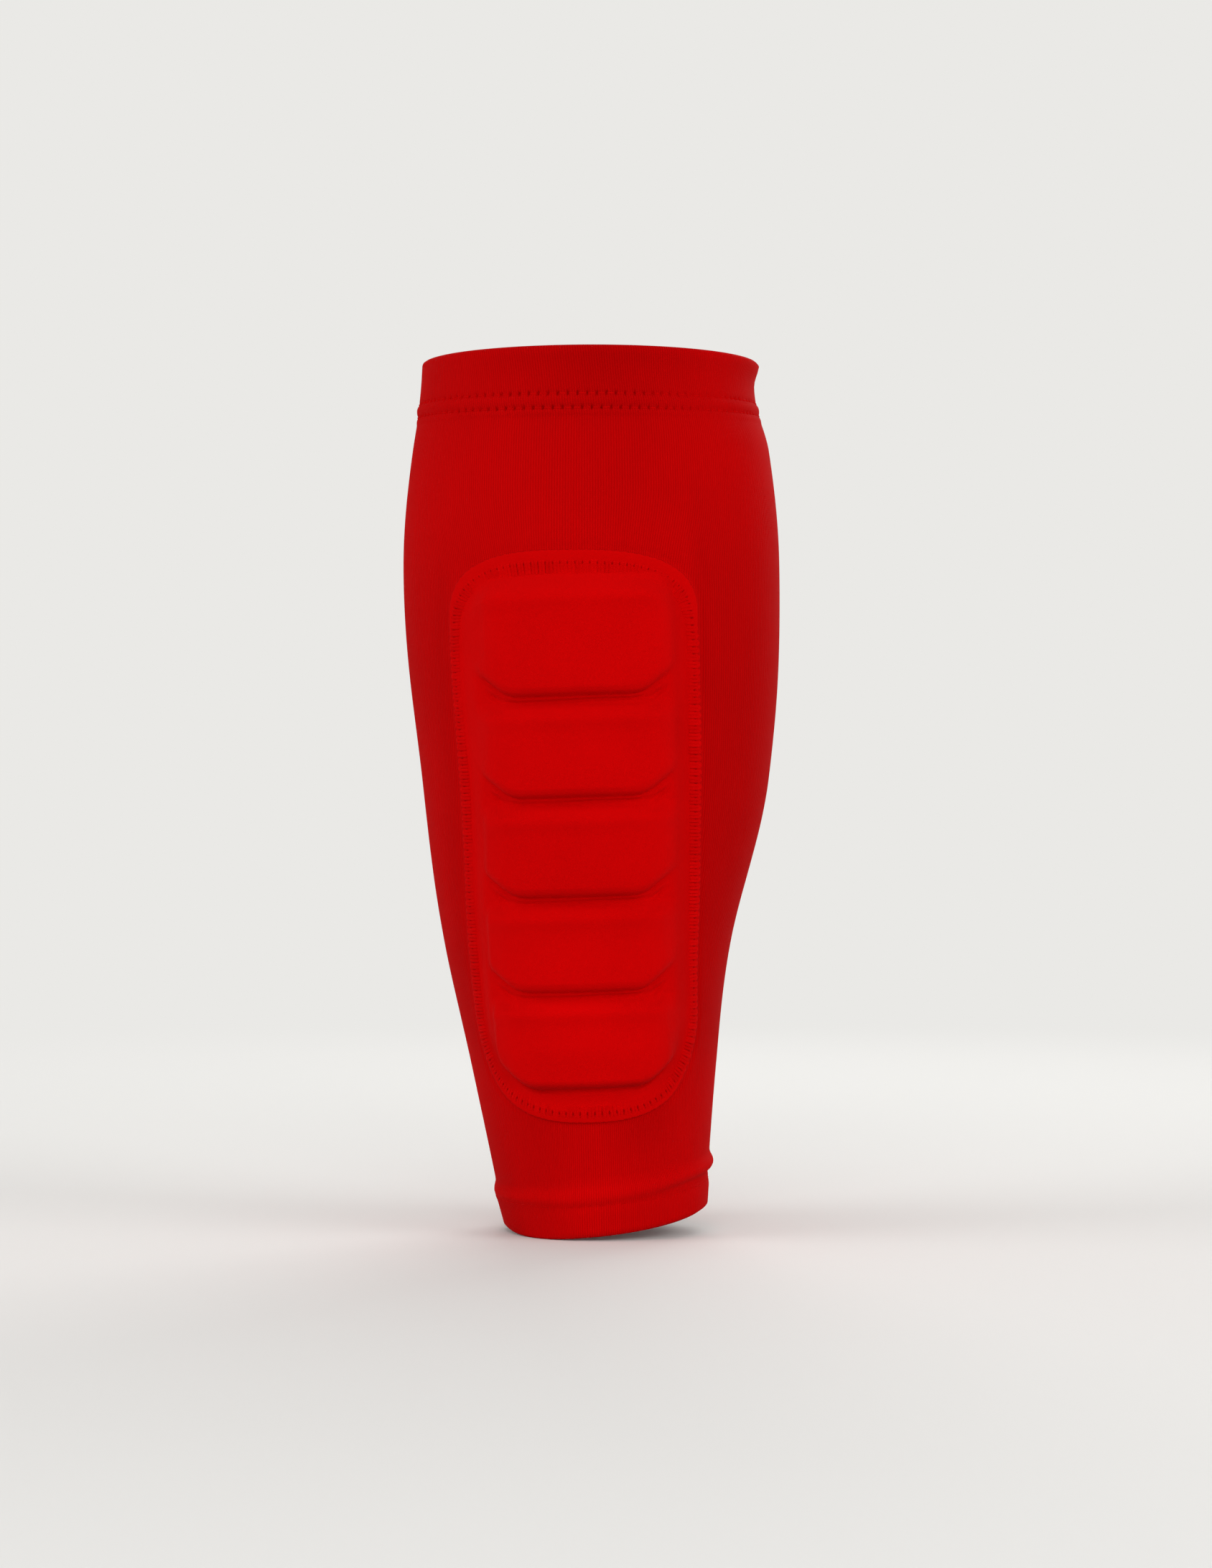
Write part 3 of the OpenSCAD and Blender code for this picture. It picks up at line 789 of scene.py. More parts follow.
FRONT_REACH, FRONT_COLUMNS, SIDE_COLUMNS, SIDE_CROWD, FINE = 50.0, 64, 66, 1.6, 4
FIRST_FRONT, LAST_FRONT = SIDE_COLUMNS, SIDE_COLUMNS + FRONT_COLUMNS
WINDOW_LOW, WINDOW_HIGH = 29.0, 233.0
BODY_STEP, FINE_STEP, INNER_STEP, INNER_LOW_STEP = 1.75, 0.6, 3.0, 2.5
EDGE_ROWS = (CLOTH_T, 2.2, 4.0, 6.0)
LOW_FINE_END, TOP_FINE_START, TOP_FINE_END = 21.0, TOP_TURN - 4, TOP_ROWS[1] + 2.6
FOLD = np.radians([36, 72, 108, 144])
TOP_TURN_ROWS, LOW_TURN_ROWS, PAST_CUT = 8, 6, 1.0
HEM_LIP, DOUBLED, CUT_FULL, CUT_THIN = 0.4, -2.0 * CLOTH_T, -1.8 * CLOTH_T, -1.1 * CLOTH_T
CORE_HALF, CORE_MARGIN, RIM_GAP = 14.0, 3.0, 0.05
RING_STEPS = np.array([0, 0.6, 1.2, 1.8, 2.5, 3.2, 3.9, 4.6, 5.4, 6.3])
WIDE_SHARES = (0.25, 0.5, 0.75)
BACK_IN, BACK_IN_DIP, BACK_IN_DIP_HALF = 0.1, 0.3, 0.7
# the ribs: the leg's round that their count is for, and how the pad and the upper hem pull them aside
RIB_LEG, RIB_TAPER, RIB_LEAN = 61.0, 0.6, 0.12
UNDER_TOP = (less, "h", PAD_TOP - 6, PAD_TOP + 26)
RIB_PULL = ((5.0, (smooth, "aside", 4, 34), (less, "aside", 46, 85), UNDER_TOP),)
# the knit's painted light and shade: rows of an amount and where it applies
BESIDE, AT_TOP_HEM = (smooth, "h", 42, 75), (smooth, "h", TOP_TURN - 20, TOP_EDGE - 2)
LEFT_END, RIGHT_END, FOOT_END = (less, "h", 205, 240), (less, "h", 214, 262), (less, "h", 14, 50)
KNIT_PAINTED_LIGHT_AND_SHADE = (
    (1.0,),
    # painted shade beside the pad and its seam, deepest at the right
    (-0.06, (smooth, "s", -38, -50), BESIDE, LEFT_END),
    (-0.05, (bump, "s", -47, 10), BESIDE, LEFT_END),
    (-0.14, (smooth, "s", 38, 46), (less, "s", 60, 100, 0.4), BESIDE, RIGHT_END),
    # painted light at the front of the foot, and painted shade at the foot's left and above the pad
    (0.12, (bump, "a", 0, 0.85), FOOT_END),
    (-0.07, (smooth, "a", -0.6, -0.9), FOOT_END),
    (-0.09, (bump, "a", 0.3, 0.7), (smooth, "h", PAD_TOP + 4, PAD_TOP + 30)),
    # painted light over the lower hem, darker over the upper hem and most at its front, a painted highlight
    # along the crest of the roll, and painted shade under the pad's right corner
    (0.1, (bump, "a", 0.2, 1.4), (less, "h", 8, 12)),
    (-0.03, AT_TOP_HEM),
    (-0.09, AT_TOP_HEM, (bump, "a", 0, 1.5)),
    (0.08, (bump, "over_roll", 0.6, 3.4)),
    (-0.1, (bump, "a", 0.55, 0.45), (bump, "h", 40, 22)),
)


def column_angles(h):
    """Angles of the columns: even over the window, closer towards the back seam."""
    front = pad_angle(np.linspace(-FRONT_REACH, FRONT_REACH, FRONT_COLUMNS + 1), np.asarray(h, float))
    share = 1 - (np.arange(SIDE_COLUMNS) / SIDE_COLUMNS) ** SIDE_CROWD
    left = mix(front[0], -math.pi, share)
    right = mix(front[-1], math.pi, share[:0:-1])
    return np.concatenate([left, front, right])


def finer(a):
    """The same columns with FINE times as many."""
    gap = np.append(a[1:], a[0] + TURN) - a
    return (a[:, None] + gap[:, None] * np.arange(FINE) / FINE).ravel()


def knit_cloth(a, h):
    """Cloth coordinates: millimetres across the ribs and along them, and the painted light and shade."""
    a, h = alike(a, h)
    s = pad_across(a, h)
    across = a * RIB_LEG * (wrap_radius(h) / RIB_LEG) ** RIB_TAPER + RIB_LEAN * np.maximum(h - TOP_TURN, 0)
    across = across + np.sign(s) * summed(RIB_PULL, aside=np.abs(s), h=h)
    return np.stack([across, h, summed(KNIT_PAINTED_LIGHT_AND_SHADE, a=a, h=h, s=s, over_roll=h - roll_line(a))], -1)


def steps_between(low, high, step):
    count = max(1, round((high - low) / step))
    return np.linspace(low, high, count + 1)[1:]


def border_of(grid):
    """The values round a grid: along its first row, up its last column, and back."""
    return np.concatenate([grid[0, :-1], grid[:-1, -1], grid[-1, :0:-1], grid[:0:-1, 0]])


class Sleeve:
    """The knit tube as one closed ply with a window: up the outside and down the inside."""

    def __init__(self):
        self.points, self.cloth, self.quads, self.others = [], [], [], []
        self.count = 0

    def add(self, a, h, d):
        """Adds points and returns their numbers. d is an offset, or a function of angle and height."""
        a, h = alike(a, h)
        self.points.append(leg(a, h, d(a, h) if callable(d) else d))
        self.cloth.append(knit_cloth(a, h))
        first = self.count
        self.count += len(a)
        return np.arange(first, self.count)

    def row(self, h, d, fine=False):
        """One row round the leg."""
        a = column_angles(h)
        return self.add(finer(a) if fine else a, h, d)

    def connect(self, low, high, window=False):
        """Faces from one row to the next one along the ply."""
        if len(low) == len(high):
            quads = grid_faces(np.stack([low, high]), closed=True)
            if window:
                quads = np.delete(quads, np.arange(FIRST_FRONT, LAST_FRONT), 0)
            self.quads.append(quads)
            return
        coarse, fine = sorted((low, high), key=len)
        f = fine.reshape(-1, FINE)
        end = np.roll(f[:, 0], -1)
        after = np.roll(coarse, -1)
        if coarse is low:
            self.others.append(np.column_stack([coarse, after, end, f[:, ::-1]]))
        else:
            self.others.append(np.column_stack([f, end, after, coarse]))

    def ring(self, rows, heights, d, inward=False):
        """The patch between the grid and the window's edge. Gives the numbers of the edge's points."""
        level = np.linspace(-FRONT_REACH, FRONT_REACH, FRONT_COLUMNS + 1)
        places = np.column_stack([border_of(x) for x in np.meshgrid(level, heights)])
        low, high = BOTTOM_BEND + CORE_MARGIN, TOP_BEND - CORE_MARGIN
        core = np.clip(places, (-CORE_HALF, low), (CORE_HALF, high))
        start = np.zeros((len(places), 1))
        near = halved(start, 1.0, lambda t: is_within(*mix(core, places, t).T, -RIM_GAP)[:, None])
        rim = mix(core, places, near)
        length = np.linalg.norm(places - rim, axis=1)
        last = RING_STEPS[-1]
        shares = [x / length for x in RING_STEPS]
        shares += [(last + (length - last) * x) / length for x in WIDE_SHARES]
        loops = []
        for share in shares:
            s, h = mix(rim, places, share[:, None]).T
            loops.append(self.add(pad_angle(s, h), h, d))
        loops.append(border_of(np.array([r[FIRST_FRONT:LAST_FRONT + 1] for r in rows])))
        grid = np.array(loops)
        after = np.roll(grid, -1, 1)
        quads = np.stack([grid[:-1], grid[1:], after[1:], after[:-1]], -1).reshape(-1, 4)
        self.quads.append(quads[:, ::-1] if inward else quads)
        return grid[0]


def inner_face(a, h):
    """The knit's inner face follows the slackness of the outer one."""
    back = back_distance(a, h)
    seam = BACK_IN_DIP * bump(back, 0, BACK_IN_DIP_HALF) - BACK_IN * bump(back, 0, BACK_ROLL_HALF)
    return -CLOTH_T + unevenness(a, h) * smooth(-inset(pad_across(a, h), h), *OFF_SEAM) + seam


def build_sleeve():
    t = Sleeve()
    top = TOP_EDGE - CLOTH_T
    marks = (EDGE_ROWS[-1], LOW_FINE_END, WINDOW_LOW, WINDOW_HIGH, TOP_FINE_START, TOP_FINE_END, top)
    outer = [(h, False) for h in EDGE_ROWS]
    for low, high in zip(marks, marks[1:]):
        fine = low in (EDGE_ROWS[-1], TOP_FINE_START)
        outer += [(h, fine) for h in steps_between(low, high, FINE_STEP if fine else BODY_STEP)]
    rows = [t.row(h, knit_relief, fine) for h, fine in outer]
    heights = [h for h, _ in outer]
    low_i, high_i = heights.index(WINDOW_LOW), heights.index(WINDOW_HIGH)
    for i in range(len(rows) - 1):
        t.connect(rows[i], rows[i + 1], low_i <= i < high_i)
    window_heights = heights[low_i:high_i + 1]
    outer_rim = t.ring(rows[low_i:high_i + 1], window_heights, knit_relief)

    # over the upper fold, down inside the hem, past its cut edge, down the leg and into the lower hem
    inner = [(top + CLOTH_T * math.sin(f), CLOTH_T * (math.cos(f) - 1)) for f in FOLD]
    inner += [(h, DOUBLED) for h in np.linspace(top, TOP_TURN + HEM_LIP, TOP_TURN_ROWS)]
    inner += [(TOP_TURN, CUT_FULL), (TOP_TURN - HEM_LIP, CUT_THIN)]
    inner += [(h, inner_face) for h in steps_between(WINDOW_HIGH, TOP_TURN - PAST_CUT, INNER_STEP)[::-1]]
    inner += [(h, inner_face) for h in window_heights[::-1]]
    below = steps_between(BOTTOM_HEM + PAST_CUT, WINDOW_LOW, INNER_LOW_STEP)
    inner += [(h, inner_face) for h in below[-2::-1]]
    inner += [(BOTTOM_HEM + HEM_LIP, CUT_THIN), (BOTTOM_HEM, CUT_FULL)]
    inner += [(h, DOUBLED) for h in np.linspace(BOTTOM_HEM - HEM_LIP, CLOTH_T, LOW_TURN_ROWS)]
    inner += [(CLOTH_T * (1 - math.sin(f)), -CLOTH_T * (1 + math.cos(f))) for f in FOLD]
    inner_heights = [h for h, _ in inner]
    chain = [rows[-1], *(t.row(h, d) for h, d in inner), rows[0]]
    top_i, bottom_i = inner_heights.index(WINDOW_HIGH) + 1, inner_heights.index(WINDOW_LOW) + 1
    for i in range(len(chain) - 1):
        t.connect(chain[i], chain[i + 1], top_i <= i < bottom_i)
    inner_rim = t.ring(chain[top_i:bottom_i + 1][::-1], window_heights, inner_face, inward=True)
    t.quads.append(grid_faces(np.stack([outer_rim, inner_rim]), closed=True))
    faces = [np.concatenate(t.quads), *t.others]
    points, cloth = np.concatenate(t.points), np.concatenate(t.cloth)
    return make_piece("knit_sleeve", points, faces, cloth, KNIT, "knit", ["sleeve_body"])


sleeve = build_sleeve()

# the tape in the upper hem

TAPE_ROWS, TAPE_COLUMNS, TAPE_WAVE, TAPE_WAVES = 30, 240, 0.1, 60
tape_h = np.linspace(TOP_TURN + ELASTIC_MARGIN, TOP_EDGE - ELASTIC_MARGIN, TAPE_ROWS)[:, None]
tape_a = np.linspace(-math.pi, math.pi, TAPE_COLUMNS, endpoint=False)[None, :]
tape_in = ELASTIC_IN + TAPE_WAVE * np.sin(TAPE_WAVES * tape_a + tape_h)
tape_cloth = np.stack(alike(tape_a * RIB_LEG, tape_h, 0.0), -1)
tape = shell(
    "hem_tape", leg(tape_a, tape_h, ELASTIC_OUT), leg(tape_a, tape_h, tape_in),
    tape_cloth, ELASTIC, "elastic", ["hem_elastic"], closed=True)

# the pad: spacing of the cover's rows at its seam, below and above the bars' edges, and on their faces, and
# of its columns from the side
SEAM_ZONE, SEAM_STEP, SEAM_GROWTH, SEAM_GROWN = 7.5, 0.1, 0.05, 6
CLOSE_ROWS, FACE_STEP = ((bar_low, 3.2, 2.5, 0.32), (bar_low, 0, 5, 0.6), (bar_high, 7, 1, 0.6)), 1.3
COLUMN_STEPS = ((8, 0.5), (24, 0.75), (PAD_WIDTH, 1.3))
# plain plies and bars: columns, and spacing of the rows
PLY_COLUMNS, PLY_STEP, PLY_GROWTH, PLY_GROWN = 49, 0.25, 0.2, 8
BAR_COLUMNS, BAR_STEP_LOW, BAR_STEP, BAR_LOW_ZONE = 57, 0.4, 0.8, 5
BAR_EDGE, BAR_CLEAR, BAR_MARGIN, BAR_LEAST = 7.7, 0.15, 1.0, 0.05
SHEET_CLEAR, SHEET_SOFT, SHEET_SOFT_W = 0.25, 0.5, 1.2
LOOK_ROUND = (-1.2, -0.6, 0.0, 0.6, 1.2)
# the pad's painted light and shade: painted light towards the foot, painted shade in the crease at the
# foot, along the right border and at the lower corners, and painted light on the bars' upper slopes
PAD_PAINTED_LIGHT_AND_SHADE = (
    (0.95,),
    (0.11, (bump, "s", -2, 38), (less, "h", 50, 110)),
    (-0.22, (bump, "lower", 0.2, 2.4), (smooth, "side", 0.5, 4.5)),
    (-0.09, (smooth, "s", 29, 34), (smooth, "h", 60, 80)),
    (-0.1, (smooth, "aside", 20, 34), (less, "h", 58, 76)),
)
SLOPE_PAINTED_LIGHT = ((0.1, (bump, "lower", -4.8, 2.7), (smooth, "side", 0, 8)),)
PAD_SHIFT = 100


def graded(low, high, step_at):
    """Places from low to high at the spacing that step_at gives."""
    places = [low]
    while places[-1] < high:
        places.append(places[-1] + step_at(places[-1]))
    places = np.array(places)
    return low + (places - low) * (high - low) / (places[-1] - low)


def cover_step(h):
    """Row spacing of the cover: close over creases and walls, wide over the faces."""
    inside = min(h - PAD_BOTTOM, PAD_TOP - h)
    if inside < SEAM_ZONE:
        return SEAM_STEP + SEAM_GROWTH * min(inside, SEAM_GROWN)
    for k in range(1, BAR_COUNT + 1):
        for edge, below, above, step in CLOSE_ROWS:
            if -below < h - edge(k) < above:
                return step
    return FACE_STEP


def column_step(x):
    """Column spacing at x from the cover's side edge."""
    return next(step for end, step in COLUMN_STEPS if x < end)


def ply_heights(low, high):
    """Rows of a plain ply, closer towards both its ends."""
    return graded(low, high, lambda x: PLY_STEP + PLY_GROWTH * min(x - low, high - x, PLY_GROWN))


def panel(heights, shares, e):
    """Places on the panel drawn in by e: rows at heights, columns at shares of the half width."""
    h = np.broadcast_to(heights[:, None], (len(heights), len(shares)))
    return half_at(h, e) * shares[None, :], h


def panel_cloth(s, h):
    """Cloth coordinates of the pad's plies, with the painted light and shade on them."""
    side, _, _, lower = bar_place(BAR_COUNT, s, h)
    tone_and_painted_shade = summed(PAD_PAINTED_LIGHT_AND_SHADE, s=s, h=h, aside=np.abs(s), side=side, lower=lower)
    for k in range(1, BAR_COUNT):
        side, _, _, lower = bar_place(k, s, h)
        tone_and_painted_shade = tone_and_painted_shade + summed(SLOPE_PAINTED_LIGHT, side=side, lower=lower)
    return np.stack([s + PAD_SHIFT, h, tone_and_painted_shade], -1)


def under_cover(s, h, clear):
    """The outermost place for foam: inside the cover's inner face, also a little above and below."""
    near = [cover_out(s, h + shift) for shift in LOOK_ROUND]
    return np.min(near, axis=0) - COVER_T - clear


def pad_ply(name, s, h, outer, inner, material, slot, node):
    cloth = panel_cloth(s, h)
    return shell(name, pad_at(s, h, outer), pad_at(s, h, inner), cloth, material, slot, [node])


half_shares = 1 - graded(0, PAD_WIDTH / 2, column_step) / (PAD_WIDTH / 2)
cover_shares = np.concatenate([-half_shares[:-1], half_shares[::-1]])
s, h = panel(graded(PAD_BOTTOM, PAD_TOP, cover_step), cover_shares, 0)
face = cover_out(s, h)
cover = pad_ply("pad_cover_cloth", s, h, face, face - COVER_T, PAD_CLOTH, "pad_cloth", "pad_cover")

plain_shares = np.linspace(-1, 1, PLY_COLUMNS)
s, h = panel(ply_heights(PAD_BOTTOM, PAD_TOP), plain_shares, 0)
lining = pad_ply("pad_lining_ply", s, h, LINING_OUT, -CLOTH_T, LINING, "lining", "pad_lining")

s, h = panel(ply_heights(PAD_BOTTOM + SHEET_INSET, PAD_TOP - SHEET_INSET), plain_shares, SHEET_INSET)
soft_edge = SHEET_SOFT * less(inset(s, h), SHEET_INSET, SHEET_INSET + SHEET_SOFT_W)
sheet_top = np.minimum(SHEET_OUT - soft_edge, under_cover(s, h, SHEET_CLEAR))
carrier = pad_ply("foam_carrier", s, h, sheet_top, SHEET_IN, FOAM, "foam", "foam_sheet")


def foam_bar(k):
    low, high = bar_low(k), bar_high(k)

    def step_at(x):
        return BAR_STEP_LOW if x < low + BAR_LOW_ZONE else BAR_STEP

    heights = graded(low + BAR_MARGIN, high - BAR_MARGIN, step_at)
    h = np.broadcast_to(heights[:, None], (len(heights), BAR_COLUMNS))
    cut = CORNER_W * np.clip(1 - (h - low) / CORNER_H, 0, 1)
    s = np.minimum(bar_width(h) / 2 - cut, half_at(h, BAR_EDGE)) * eased(BAR_COLUMNS)[None, :]
    top = under_cover(s, h, BAR_CLEAR)
    under = np.minimum(BAR_IN, top - BAR_LEAST)
    return pad_ply(f"foam_cushion_{k}", s, h, top, under, FOAM, "foam", f"foam_bar_{k}")


bars = [foam_bar(k) for k in range(1, BAR_COUNT + 1)]

# stitches: strands across the seams, the rail, beads and dark grains of the ring seam painted as shade in
# its needle holes, and loops underneath

RUNG_SEED, RUNG_POINTS, RUNG_W, SWAY, LIFT = 7, 13, 5.4, 0.08, 0.05
STRAND_HALF, STRAND_HIGH, STRAND_GAP, STRAND_END, END_TAPER = 0.64, 0.21, 1.05, 0.8, 0.9
RUNG_DIVE = ((-0.06,), (-0.3, (smooth, "t", -0.7, -1.0)), (-0.12, (smooth, "t", 0.8, 1.0)))
OUTLINE_STEPS, TANGENT_REACH = 1440, 0.4
BROAD_IN, BROAD_SHORT, LOW_SINK, RING_UNDER = 2.1, 0.05, 0.08, 0.35
RAIL_OUT, RAIL_HALF, LOW_OUT, LOW_HALF, BROAD_OUT, BROAD_HALF = 1.4, 0.3, 1.9, 1.3, 1.35, 2.35
RAIL_STEPS, RAIL_SIDES, RAIL_SINK, RAIL_HIGH, RAIL_WAIST, RAIL_SHADE = 4, 12, 0.09, 0.22, 0.05, 0.87
BEADS = {"sink": 0.14, "long": 0.95, "half": 1.08, "high": 0.36, "shade": 0.92}
# dark grains painted as the shade in the needle holes
HOLE_SHADE_GRAINS = {"sink": 0.05, "long": 0.5, "half": 0.28, "high": 0.2, "shade": 0.55}
GRAIN_POINTS, GRAIN_ROUND = 7, 0.97
BEAD_OUT, BEAD_LOW, BEAD_LEAST, HOLE_OUT, HOLE_OUT_TOP = 2.0, 0.5, 0.1, 0.2, 1.6
LOOP_POINTS, LOOP_REACH, LOOP_LIFT, LOOP_HALF, LOOP_HIGH = 13, 0.46, 0.12, 0.3, 0.24
# painted shade on the ring's thread: darker at the sides and over the top, taking the greater of the two,
# and more at the lower right
RING_TONE, TOP_SHADE = 0.97, 0.07
AT_SIDES, UP_RIGHT = (smooth, "aside", 26, 38), ((smooth, "s", 0, 20), (bump, "h", 95, 40))
SIDE_SHADE = ((0.09, AT_SIDES), (-0.036, AT_SIDES, *UP_RIGHT))
CORNER_SHADE = ((0.08, (smooth, "s", 14, 26), (less, "h", 50, 70)),)


def thread_piece(name, made, node):
    make_piece(name, *made, THREAD, "thread", [node])


def ring_places(pitch):
    """Middles, tangents and outward normals of the ring seam's stitches, and their pitch."""
    line = outline_at(np.linspace(0, TURN, OUTLINE_STEPS, endpoint=False))
    line = np.concatenate([line, line[:1]])
    run = np.concatenate([[0], np.cumsum(np.linalg.norm(np.diff(line, axis=0), axis=1))])
    count = round(run[-1] / pitch)
    marks = (np.arange(count) + 0.5) / count * run[-1]
    shifted = [(marks + shift) % run[-1] for shift in (0, TANGENT_REACH, -TANGENT_REACH)]
    at, ahead, behind = (np.stack([np.interp(m, run, x) for x in line.T], -1) for m in shifted)
    tangent = unit(ahead - behind)
    return at, tangent, np.stack([tangent[:, 1], -tangent[:, 0]], -1), run[-1] / count


def per_stitch(count, *values):
    """Each value as an array with a row for each stitch."""
    return alike(*values, np.zeros((count, 1)))[:-1]


def seam_rungs(place, count, width, shade=1.0):
    """Paired strands across a flat seam. place gives points and normals at offsets from each stitch."""
    random = np.random.default_rng(RUNG_SEED)
    t = eased(RUNG_POINTS)
    dive = summed(RUNG_DIVE, t=t)
    ends = np.sqrt(1 - END_TAPER * np.clip((np.abs(t) - STRAND_END) / (1 - STRAND_END), 0, 1) ** 2)
    parts = []
    for offset in (-STRAND_GAP / 2, STRAND_GAP / 2):
        sway = SWAY * random.uniform(-1, 1, (count, 1))
        lift = dive[None, :] + LIFT * random.uniform(-1, 1, (count, 1))
        points, normals = place(offset + sway * (1 - t[None, :] ** 2), t[None, :] * width / 2, lift)
        thick = np.broadcast_to(ends, points.shape[:2])
        parts.append(tubes(points, normals, thick * STRAND_HALF, thick * STRAND_HIGH, shade=shade))
    return parts


def loop_threads(place, width, pitch):
    """Underside of a seam: a thread that goes to and fro across it."""
    t = np.linspace(0, 1, LOOP_POINTS)[None, :]
    across = width * LOOP_REACH * np.cos(math.pi * t)
    lift = LOOP_LIFT * np.sin(math.pi * t)
    forth = place(-pitch / 2 + pitch / 2 * t, across, lift)
    back = place(pitch / 2 * t, -across, -lift)
    thick = np.ones(forth[0].shape[:2])
    return join([tubes(*way, thick * LOOP_HALF, thick * LOOP_HIGH) for way in (forth, back)])


middle, tangent, normal, ring_pitch = ring_places(RING_PITCH)
ring_s, ring_h = middle.T
broad, low = ring_broad(middle[:, 1:]), ring_low(middle[:, 1:])


def on_ring(base):
    """Places round the ring seam, on the cloth that base gives."""
    def place(along, across, lift):
        along, across, lift = per_stitch(len(middle), along, across, lift)
        across = across * (1 - BROAD_SHORT * broad) - BROAD_IN * broad
        s = middle[:, :1] + along * tangent[:, :1] + across * normal[:, :1]
        h = middle[:, 1:] + along * tangent[:, 1:] + across * normal[:, 1:]
        a = pad_angle(s, h)
        return leg(a, h, base(s, h) + lift), normals_at(a, h)
    return place


def ring_top(s, h):
    """The cloth under the seam's stitches, without the dip in its middle."""
    e = inset(s, h)
    bed = np.where(e < 0, ring_form(e), flange_out(e, h))
    return bed + RING_DIP * bump(e, 0, RING_DIP_HALF)


def rung_bed(s, h):
    """The stitches lie lower along the seam's foot."""
    return ring_top(s, h) - LOW_SINK * ring_low(h)


def ring_under(s, h):
    return np.full(s.shape, -CLOTH_T - RING_UNDER)


def ring_rail():
    """The covering thread along the seam's outer edge, which shows over the top only."""
    t = np.linspace(0, len(middle), len(middle) * RAIL_STEPS, endpoint=False)
    whole = t.astype(int)
    after = (whole + 1) % len(middle)
    share = (t - whole)[:, None]
    at = mix(middle[whole], middle[after], share)
    side = mix(normal[whole], normal[after], share)
    broad, low = ring_broad(at[:, 1:]), ring_low(at[:, 1:])
    s, h = (at + side * mix(mix(RAIL_OUT, LOW_OUT, low), BROAD_OUT, broad)).T
    half = mix(mix(RAIL_HALF, LOW_HALF, low), BROAD_HALF, broad)[:, 0] * (1 + RAIL_WAIST * np.cos(TURN * t))
    a = pad_angle(s, h)
    points = leg(a, h, ring_top(s, h) - RAIL_SINK)[None]
    high = np.full(half.shape, RAIL_HIGH)
    rail, faces, cloth = tubes(points, normals_at(a, h)[None], half[None], high[None], RAIL_SIDES, True)
    return rail, faces, cloth * 0 + [0, 0, RAIL_SHADE]


def ring_grains(along, across, size, long, half, high, sink, shade):
    """A rounded grain of thread at each stitch of the ring seam."""
    t = eased(GRAIN_POINTS)[None, :]
    points, normals = on_ring(ring_top)(along, across + long * t, -sink)
    size = size * np.sqrt(1 - GRAIN_ROUND * t**2) + np.zeros(points.shape[:2])
    return tubes(points, normals, half * size, high * size, shade=shade)


# painted shade on the ring seam's thread, for each stitch
def ring_painted_shade():
    sides = summed(SIDE_SHADE, aside=np.abs(ring_s), s=ring_s, h=ring_h)
    shade = np.maximum(sides, TOP_SHADE * ring_broad(ring_h)) + summed(CORNER_SHADE, s=ring_s, h=ring_h)
    return RING_TONE - shade


rungs = seam_rungs(on_ring(rung_bed), len(middle), RUNG_W, ring_painted_shade()[:, None, None])
# the stitches' rounded ends, which fade out over the top, and dark grains between the stitches, painted
# shade where the thread goes down through the cloth
beads = ring_grains(0, BEAD_OUT, np.maximum(1 - broad - BEAD_LOW * low, BEAD_LEAST), **BEADS)
hole_shades = ring_grains(ring_pitch / 2, mix(HOLE_OUT, HOLE_OUT_TOP, broad), 1.0, **HOLE_SHADE_GRAINS)
thread_piece("pad_seam_stitches", join([*rungs, beads, hole_shades, ring_rail()]), "pad_seam_thread")
thread_piece("pad_seam_loops", loop_threads(on_ring(ring_under), RING_W, ring_pitch), "pad_seam_looper")

# the seam down the back

BACK_END, BACK_MARGIN, LOOPS_MARGIN, BACK_LIFT, UNDER = 0.4, 0.8, 0.6, 0.08, 0.4


def on_back(heights, base):
    """Places down the back seam, on the cloth that base gives."""
    def place(along, across, lift):
        along, across, lift = per_stitch(len(heights), along, across, lift)
        h = np.clip(heights[:, None] + along, BACK_END, TOP_EDGE - BACK_END)
        a = math.pi - across / reach(h)[..., BACK]
        return leg(a, h, base(a, h) + lift), normals_at(a, h)
    return place


def back_heights(low, high):
    """Heights of the back seam's stitches, and their pitch."""
    count = math.floor((high - low) / BACK_PITCH)
    return low + (np.arange(count) + 0.5) / count * (high - low), (high - low) / count


def back_top(a, h):
    return knit_relief(a, h) + BACK_DIP * bump(back_distance(a, h), 0, BACK_DIP_HALF) + BACK_LIFT


def back_under(a, h):
    return np.full(a.shape, -CLOTH_T - UNDER)


heights, _ = back_heights(BACK_MARGIN, TOP_EDGE - BACK_MARGIN)
back_rungs = seam_rungs(on_back(heights, back_top), len(heights), BACK_W)
thread_piece("back_seam_stitches", join(back_rungs), "back_seam_thread")
heights, pitch = back_heights(BOTTOM_HEM + LOOPS_MARGIN, TOP_TURN - LOOPS_MARGIN)
back_loops = loop_threads(on_back(heights, back_under), BACK_W, pitch)
thread_piece("back_seam_loops", back_loops, "back_seam_looper")

# the hems' rows

TOP_STITCH_RISE, LOW_STITCH_RISE, STITCH_SINK, STITCH_SHARE, HEM_SHADE = 0.34, 0.22, 0.3, 0.82, 0.86
STITCH_POINTS, STITCH_HALF, STITCH_HIGH, STITCH_TIP, ARCH_POWER = 11, 0.253, 0.22, 0.55, 4
HEM_LOOP_POINTS, HEM_LOOP_HALF, OVER_BACK = 9, 0.28, 0.85


def over_back(a, h):
    """Hem threads pass over the back seam."""
    return OVER_BACK * less(back_distance(a, h), BACK_W / 2, BACK_W / 2 + HEM_PITCH)


